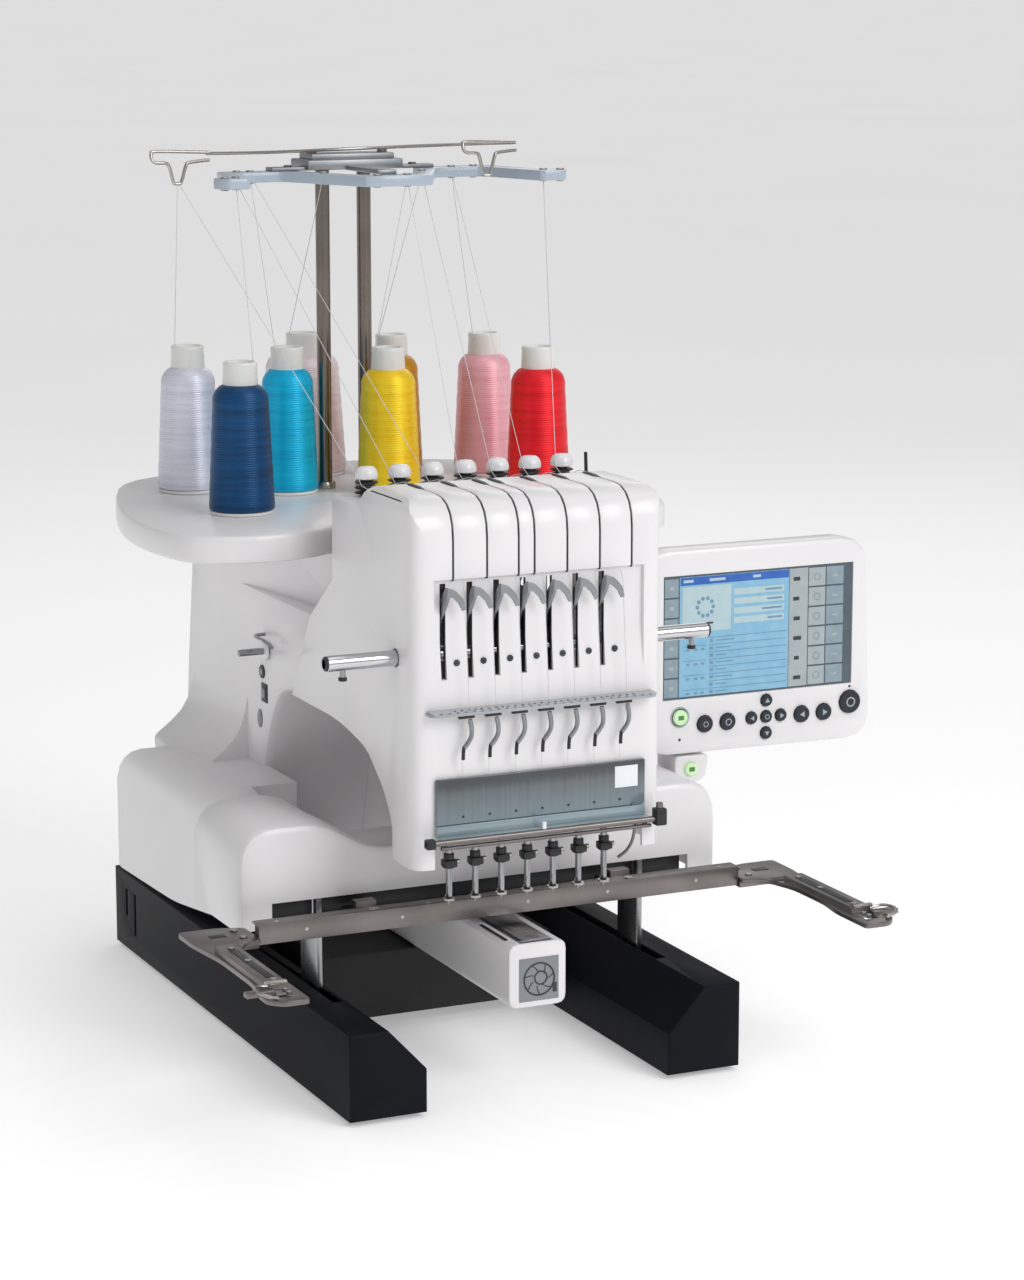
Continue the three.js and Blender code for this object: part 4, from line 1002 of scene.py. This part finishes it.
def thread_stand():
    """Two poles, the head and bridge on them, the zig-zag guide plate, and its wire guides."""
    bm = bmesh.new()
    for x in (-POLE_X, POLE_X):
        rod(bm, (x, POLE_Y, 452.4), (x, POLE_Y, 742), 6.4, 0, 32, 0.5)
        collar = [(9.5, 452.4), (9.5, 456), (8.6, 458), (6.4, 458.4)]
        lathe(bm, collar, (x, POLE_Y, 0), sides=32, index=2)
    block(bm, -46, 46, 404, 446, 741, 750, 1, 1.6)
    block(bm, -40, 40, 410, 440, 749, 755, 1, 1.2)
    for x in (-34, 34):
        rod(bm, (x, 425, 754.6), (x, 425, 757.6), 4.6, 0, 24, 0.6)
    block(bm, -9, 9, 332, 410, 740.6, 744.5, 1, 0.8)
    block(bm, -78, 78, 409, 425, 740.6, 744, 1, 0.8)
    for x in (-60, 0, 60):
        rod(bm, (x, 417, 743.8), (x, 417, 745.6), 3.6, 0, 20, 0.4)
    right = [
        (0, 306.5), (28, 306.5), (33, 309), (76, 401), (81, 404.5), (119, 404.5), (124, 401), (144, 325),
        (148, 322.5), (166, 322.5), (170, 326), (176, 338), (173, 344), (160, 352.5), (156, 358),
        (137, 426), (132, 429.5), (70, 429.5), (65, 426), (27, 339), (22, 335.5), (0, 335.5),
    ]
    left = [(-x * LEFT_REACH, y) for x, y in right[::-1]][1:-1]
    prism(bm, right + left, "Z", GUIDE_Z - 4.4, GUIDE_Z + 4.6, 3, 0.8)
    lip = [(2.0, 0), (3.4, 0), (3.8, 0.8), (3.2, 1.6), (2.0, 1.4), (2.0, 0)]
    spare = [(-108, 417), (120, 417), (-14, 321), (-150, 334), (168, 334)]
    for x, y in list(EYELETS.values())[1:] + spare:
        lathe(bm, lip, (x, y, GUIDE_Z + 4.4), sides=20, index=2)
        lathe(bm, [(r, -z) for r, z in lip], (x, y, GUIDE_Z - 4.2), sides=20, index=2)
    for x, y, z in ((-186, 352, 0), (104, 352, 2)):
        sweep(
            bm,
            [
                (x + 30, y + 4, 762 + z), (x - 19, y - 2, 764 + z), (x - 24, y - 3, 762 + z),
                (x - 24, y - 4, 757 + z), (x - 20, y - 4, 754.5 + z), (x - 12, y - 3, 754 + z),
                (x - 8, y - 2, 751 + z), (x - 4.5, y - 2, 738), (x - 2.5, y - 2, 736.4),
                (x + 1, y - 2, 736.4), (x + 3, y - 2, 738), (x + 7, y - 2, 751 + z),
                (x + 11, y - 1, 754 + z), (x + 30, y + 3, 755.5 + z),
            ],
            1.5, 2, 10, 4,
        )
    long_wire = [
        (-158, 356, 761), (-110, 376, 759.5), (-60, 402, 758.4), (-20, 420, 758), (30, 418, 759),
        (80, 382, 762), (132, 356, 764),
    ]
    sweep(bm, long_wire, 1.5, 2, 10, 5)
    piece(
        "guide_stand", bm, [pole_steel, grey_steel, bright_nickel, blue_enamel],
        BASE, ["thread_stand"],
    )


thread_stand()


def threads():
    """Sewing threads, drawn about 0.6 mm thick, where a real one is 0.3 mm, so that they show."""
    bm = bmesh.new()
    for colour, (ex, ey) in EYELETS.items():
        low, high = corners(f"{colour}_cone")
        x, y, _ = (low + high) / 2
        top = high.z
        side = 1 if ex > x else -1
        path = [(x + 15 * side, y, top - 14), (x + 12 * side, y, top + 0.5), (ex, ey, GUIDE_Z + 2)]
        sweep(bm, path, 0.33, 0, 6, 1)
    piece("threads_to_stand", bm, [thread_line], BASE)
    order = ["white", "dark_blue", "cyan", "yellow", "gold", "pink", "red"]
    for i, colour in enumerate(order):
        ex, ey = EYELETS[colour]
        x = KNOB_X[i] - 14
        start, end = Vector((ex, ey, GUIDE_Z + 2)), Vector((x, 150, 503))
        bm = bmesh.new()
        path = [start.lerp(end, k / 10) for k in range(11)]
        sweep(bm, path, 0.3, 0, 6, 1)
        run = piece(f"thread_to_head_{i + 1}", bm, [thread_line], None)
        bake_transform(run)
        bm = bmesh.new()
        groove, needle = GROOVES[i], NEEDLE_X[i]
        path = [end, (x + 4, 142, 496), (groove, 120, 503.4), (groove, 106, 504.2)]
        sweep(bm, path, 0.3, 0, 6, 2)
        path = [
            (needle + 1, 19.2, 436.5), (needle + 1.4, 15.2, 428), (needle + 3.5, 10.6, 332.2),
            (needle - 2, 12.8, 291), (needle, 17.0, 277),
        ]
        sweep(bm, path, 0.28, 0, 6, 1)
        piece(f"thread_on_head_{i + 1}", bm, [thread_line], HEAD)


threads()

# ---- Control panel ----
PANEL = "control_panel"
refined("panel_arm", white_abs, BASE, 1.2)
refined("panel_housing", white_abs, PANEL, 1.0)
SCREEN_BACK = 201.8


def screen():
    """The display and its columns of touch keys: panes of colour with rules, and no lettering."""
    bm = bmesh.new()
    mats = [lcd_blue, lcd_bar, lcd_pale, lcd_line, touch_light, touch_dark, touch_rim, dark_ink]
    back = SCREEN_BACK
    block(bm, 206.4, 398.6, back - 0.5, back, 278.4, 389.6, 6)
    block(bm, 222.5, 333, back - 0.8, back - 0.4, 280, 388, 0)
    block(bm, 223.2, 332.6, back - 1.0, back - 0.7, 380.6, 387.6, 1)
    for x0, x1 in ((226, 236), (252, 268), (296, 304)):
        block(bm, x0, x1, back - 1.1, back - 0.9, 383, 385.4, 2)
    block(bm, 225, 274, back - 1.0, back - 0.7, 338, 379, 2)
    dots = 10
    for k in range(dots):
        a = 2 * math.pi * k / dots
        x, z = 248 + 8 * math.cos(a), 360 + 8 * math.sin(a)
        rod(bm, (x, back - 0.9, z), (x, back - 1.15, z), 1.9, 3, 10, 0.05)
    block(bm, 242, 256, back - 1.15, back - 0.9, 344.5, 346.2, 7)
    rng = random.Random(7)
    for row in range(4):
        z = 371.5 - 8.6 * row
        block(bm, 277, 328, back - 1.0, back - 0.75, z - 2.9, z + 2.9, 2)
        block(bm, 318 - rng.uniform(6, 16), 326, back - 1.1, back - 0.95, z - 0.9, z + 0.9, 3)
    for row in range(8):
        z = 332 - 6.6 * row
        block(bm, 252, 331, back - 0.95, back - 0.75, z - 0.35, z + 0.35, 3)
        block(bm, 253, 256.5, back - 1.0, back - 0.75, z - 4.6, z - 1.6, 3)
        block(bm, 259, 259 + rng.uniform(10, 26), back - 1.0, back - 0.75, z - 3.6, z - 2.6, 3)
        if row % 2:
            block(bm, 226, 249, back - 0.95, back - 0.75, z - 0.3, z + 0.3, 3)
            for x in (231, 239, 246):
                block(bm, x - 1.6, x + 1.6, back - 1.0, back - 0.75, z - 4.4, z - 2.4, 3)
    for row in range(6):
        z0 = 280.2 + 18.1 * row
        block(bm, 207.4, 221.4, back - 1.0, back - 0.4, z0, z0 + 16.6, 5, 0.3)
        block(bm, 212.5, 216.5, back - 1.15, back - 0.9, z0 + 6.6, z0 + 10, 4)
        block(bm, 353.4, 370.6, back - 1.0, back - 0.4, z0, z0 + 16.6, 4, 0.3)
        ring = [(3.6, 0), (3.6, 0.2), (2.6, 0.2), (2.6, 0), (3.6, 0)]
        lathe(bm, ring, (362, back - 0.95, z0 + 8.2), (0, -1, 0), 20, 5)
        block(bm, 371.6, 389.4, back - 1.0, back - 0.4, z0, z0 + 16.6, 5, 0.3)
        block(bm, 377.6, 383.4, back - 1.15, back - 0.9, z0 + 7.4, z0 + 9, 4)
        x0 = 339.5 - rng.uniform(0, 2)
        x1 = 343.5 + rng.uniform(0, 3)
        block(bm, x0, x1, back - 1.0, back - 0.7, z0 + 6, z0 + 9.4, 7)
    block(bm, 333.6, 352.6, back - 0.8, back - 0.4, 280, 388, 4)
    piece("display", bm, mats, PANEL, smooth=20)


KEY_FRONT, KEY_BACK = 197.0, 207.0


def pictogram(bm, kind, x, z, s):
    """A small printed mark on a key: a ring or an arrowhead."""
    y = KEY_FRONT
    if kind == "ring":
        ring = [(s, 0), (s, 0.25), (s * 0.72, 0.25), (s * 0.72, 0), (s, 0)]
        lathe(bm, ring, (x, y + 0.05, z), (0, -1, 0), 20, 1)
        return
    dx, dz = {"left": (-1, 0), "right": (1, 0), "up": (0, 1), "down": (0, -1)}[kind]
    tip = (x + dx * s, z + dz * s)
    a = (x - dx * s * 0.7 + dz * s, z - dz * s * 0.7 + dx * s)
    b = (x - dx * s * 0.7 - dz * s, z - dz * s * 0.7 - dx * s)
    prism(bm, [tip, a, b], "Y", y - 0.2, y + 0.05, 1)


def key_top(bm, x, z, r, front=KEY_FRONT, back=KEY_BACK):
    """A round key with a rolled front edge."""
    profile = [(r, back - front), (r, 0.9), (r - 0.5, 0.2), (r - 1.6, 0), (0, 0)]
    lathe(bm, [(0, back - front)] + profile, (x, front, z), (0, 1, 0), 32, 0)


def panel_keys():
    """The row of keys under the screen, and the five that make up the direction pad."""
    marks = {
        "panel_key_left": ("ring", 2.6), "panel_key_check": ("ring", 3.2), "panel_key_back": ("left", 2.8),
        "panel_key_next": ("right", 2.8), "panel_key_start": ("ring", 4.6),
    }
    for node, (kind, size) in marks.items():
        low, high = corners(node)
        x, _, z = (low + high) / 2
        bm = bmesh.new()
        key_top(bm, x, z, (high.x - low.x) / 2)
        pictogram(bm, kind, x, z, size)
        piece(node + "_top", bm, [key_rubber, legend_ink], node, [node])
    bm = bmesh.new()
    x, z = 310.5, 255
    step = 15
    arms = ((0, 0, "ring"), (-step, 0, "left"), (step, 0, "right"), (0, step, "up"), (0, -step, "down"))
    for dx, dz, kind in arms:
        key_top(bm, x + dx, z + dz, 5.4)
        pictogram(bm, kind, x + dx, z + dz, 2.3)
    piece(
        "direction_keys", bm, [key_rubber, legend_ink],
        "direction_pad", ["direction_pad"],
    )


def lit_buttons():
    """The two buttons lit from behind, each with a plain mark."""
    for node in ("start_stop_button", "thread_cut_button"):
        low, high = corners(node)
        x, _, z = (low + high) / 2
        front = low.y
        bm = bmesh.new()
        key_top(bm, x, z, (high.x - low.x) / 2, front, front + 10)
        block(bm, x - 2.8, x + 2.8, front - 0.02, front + 0.3, z - 2.0, z + 2.0, 1)
        piece(node + "_lens", bm, [green_lens, green_mark], node, [node])


def panel_trim():
    """Two dark dots, and the ring round the start/stop button."""
    bm = bmesh.new()
    for x, z, radius in ((223, 241.5, 1.3), (397, 275.2, 1.2)):
        rod(bm, (x, 199.7, z), (x, 200.2, z), radius, 0, 14, 0.1)
    ring = [(9.6, 0), (9.6, 0.25), (8.2, 0.25), (8.2, 0), (9.6, 0)]
    lathe(bm, ring, (223, 199.9, 262), (0, -1, 0), 32, 1)
    piece("panel_marks", bm, [dark_ink, touch_light], PANEL)


screen()
panel_keys()
lit_buttons()
panel_trim()


# ---- Floor and light ----
FLOOR_REACH = 150
FLOOR_GLOW = 0.36
SKY_GLOW = 0.42
# Each lamp's place, width and height in metres, and its power in watts.
LAMPS = {
    "key": ((1.0, -2.6, 2.0), 1.6, 1.6, 40),
    "fill": ((-2.8, -1.0, 1.2), 1.0, 1.6, 1.5),
    "top": ((0.2, -0.2, 2.8), 2.0, 2.0, 11),
    "rim": ((1.6, 2.4, 1.8), 1.2, 1.2, 5),
}
AIM = Vector((0, 0, 0.3))


def studio():
    """A pale floor, an even sky and four soft lamps."""
    bm = bmesh.new()
    bmesh.ops.create_grid(bm, x_segments=1, y_segments=1, size=FLOOR_REACH)
    mesh = bpy.data.meshes.new("studio_floor")
    bm.to_mesh(mesh)
    bm.free()
    floor = bpy.data.objects.new("studio_floor", mesh)
    paper = blank("pale_studio_paper")
    place = add(paper, "ShaderNodeTexCoord").outputs["Object"]
    tone = add(paper, "ShaderNodeTexNoise", {"Vector": place, "Scale": 0.7})
    colour = add(
        paper, "ShaderNodeMix", {0: tone.outputs["Fac"], 6: linear("#F4F4F4"), 7: linear("#FAFAFA")},
        data_type="RGBA",
    )
    shade(
        paper,
        {
            "Base Color": colour.outputs[2],
            "Roughness": 0.9,
            "Specular IOR Level": 0.1,
            "Emission Color": colour.outputs[2],
            "Emission Strength": FLOOR_GLOW,
        },
    )
    mesh.materials.append(paper)
    bpy.context.scene.collection.objects.link(floor)
    world = bpy.data.worlds.new("studio_white")
    world.use_nodes = True
    glow = world.node_tree.nodes["Background"]
    glow.inputs["Color"].default_value = (1, 1, 1, 1)
    glow.inputs["Strength"].default_value = SKY_GLOW
    bpy.context.scene.world = world
    for name, (place, width, height, power) in LAMPS.items():
        data = bpy.data.lights.new(name, "AREA")
        data.shape = "RECTANGLE"
        data.size, data.size_y, data.energy = width, height, power
        lamp = bpy.data.objects.new(name, data)
        lamp.location = place
        lamp.rotation_euler = (AIM - Vector(place)).to_track_quat("-Z", "Y").to_euler()
        bpy.context.scene.collection.objects.link(lamp)
    bpy.context.scene.view_settings.view_transform = "Standard"


studio()
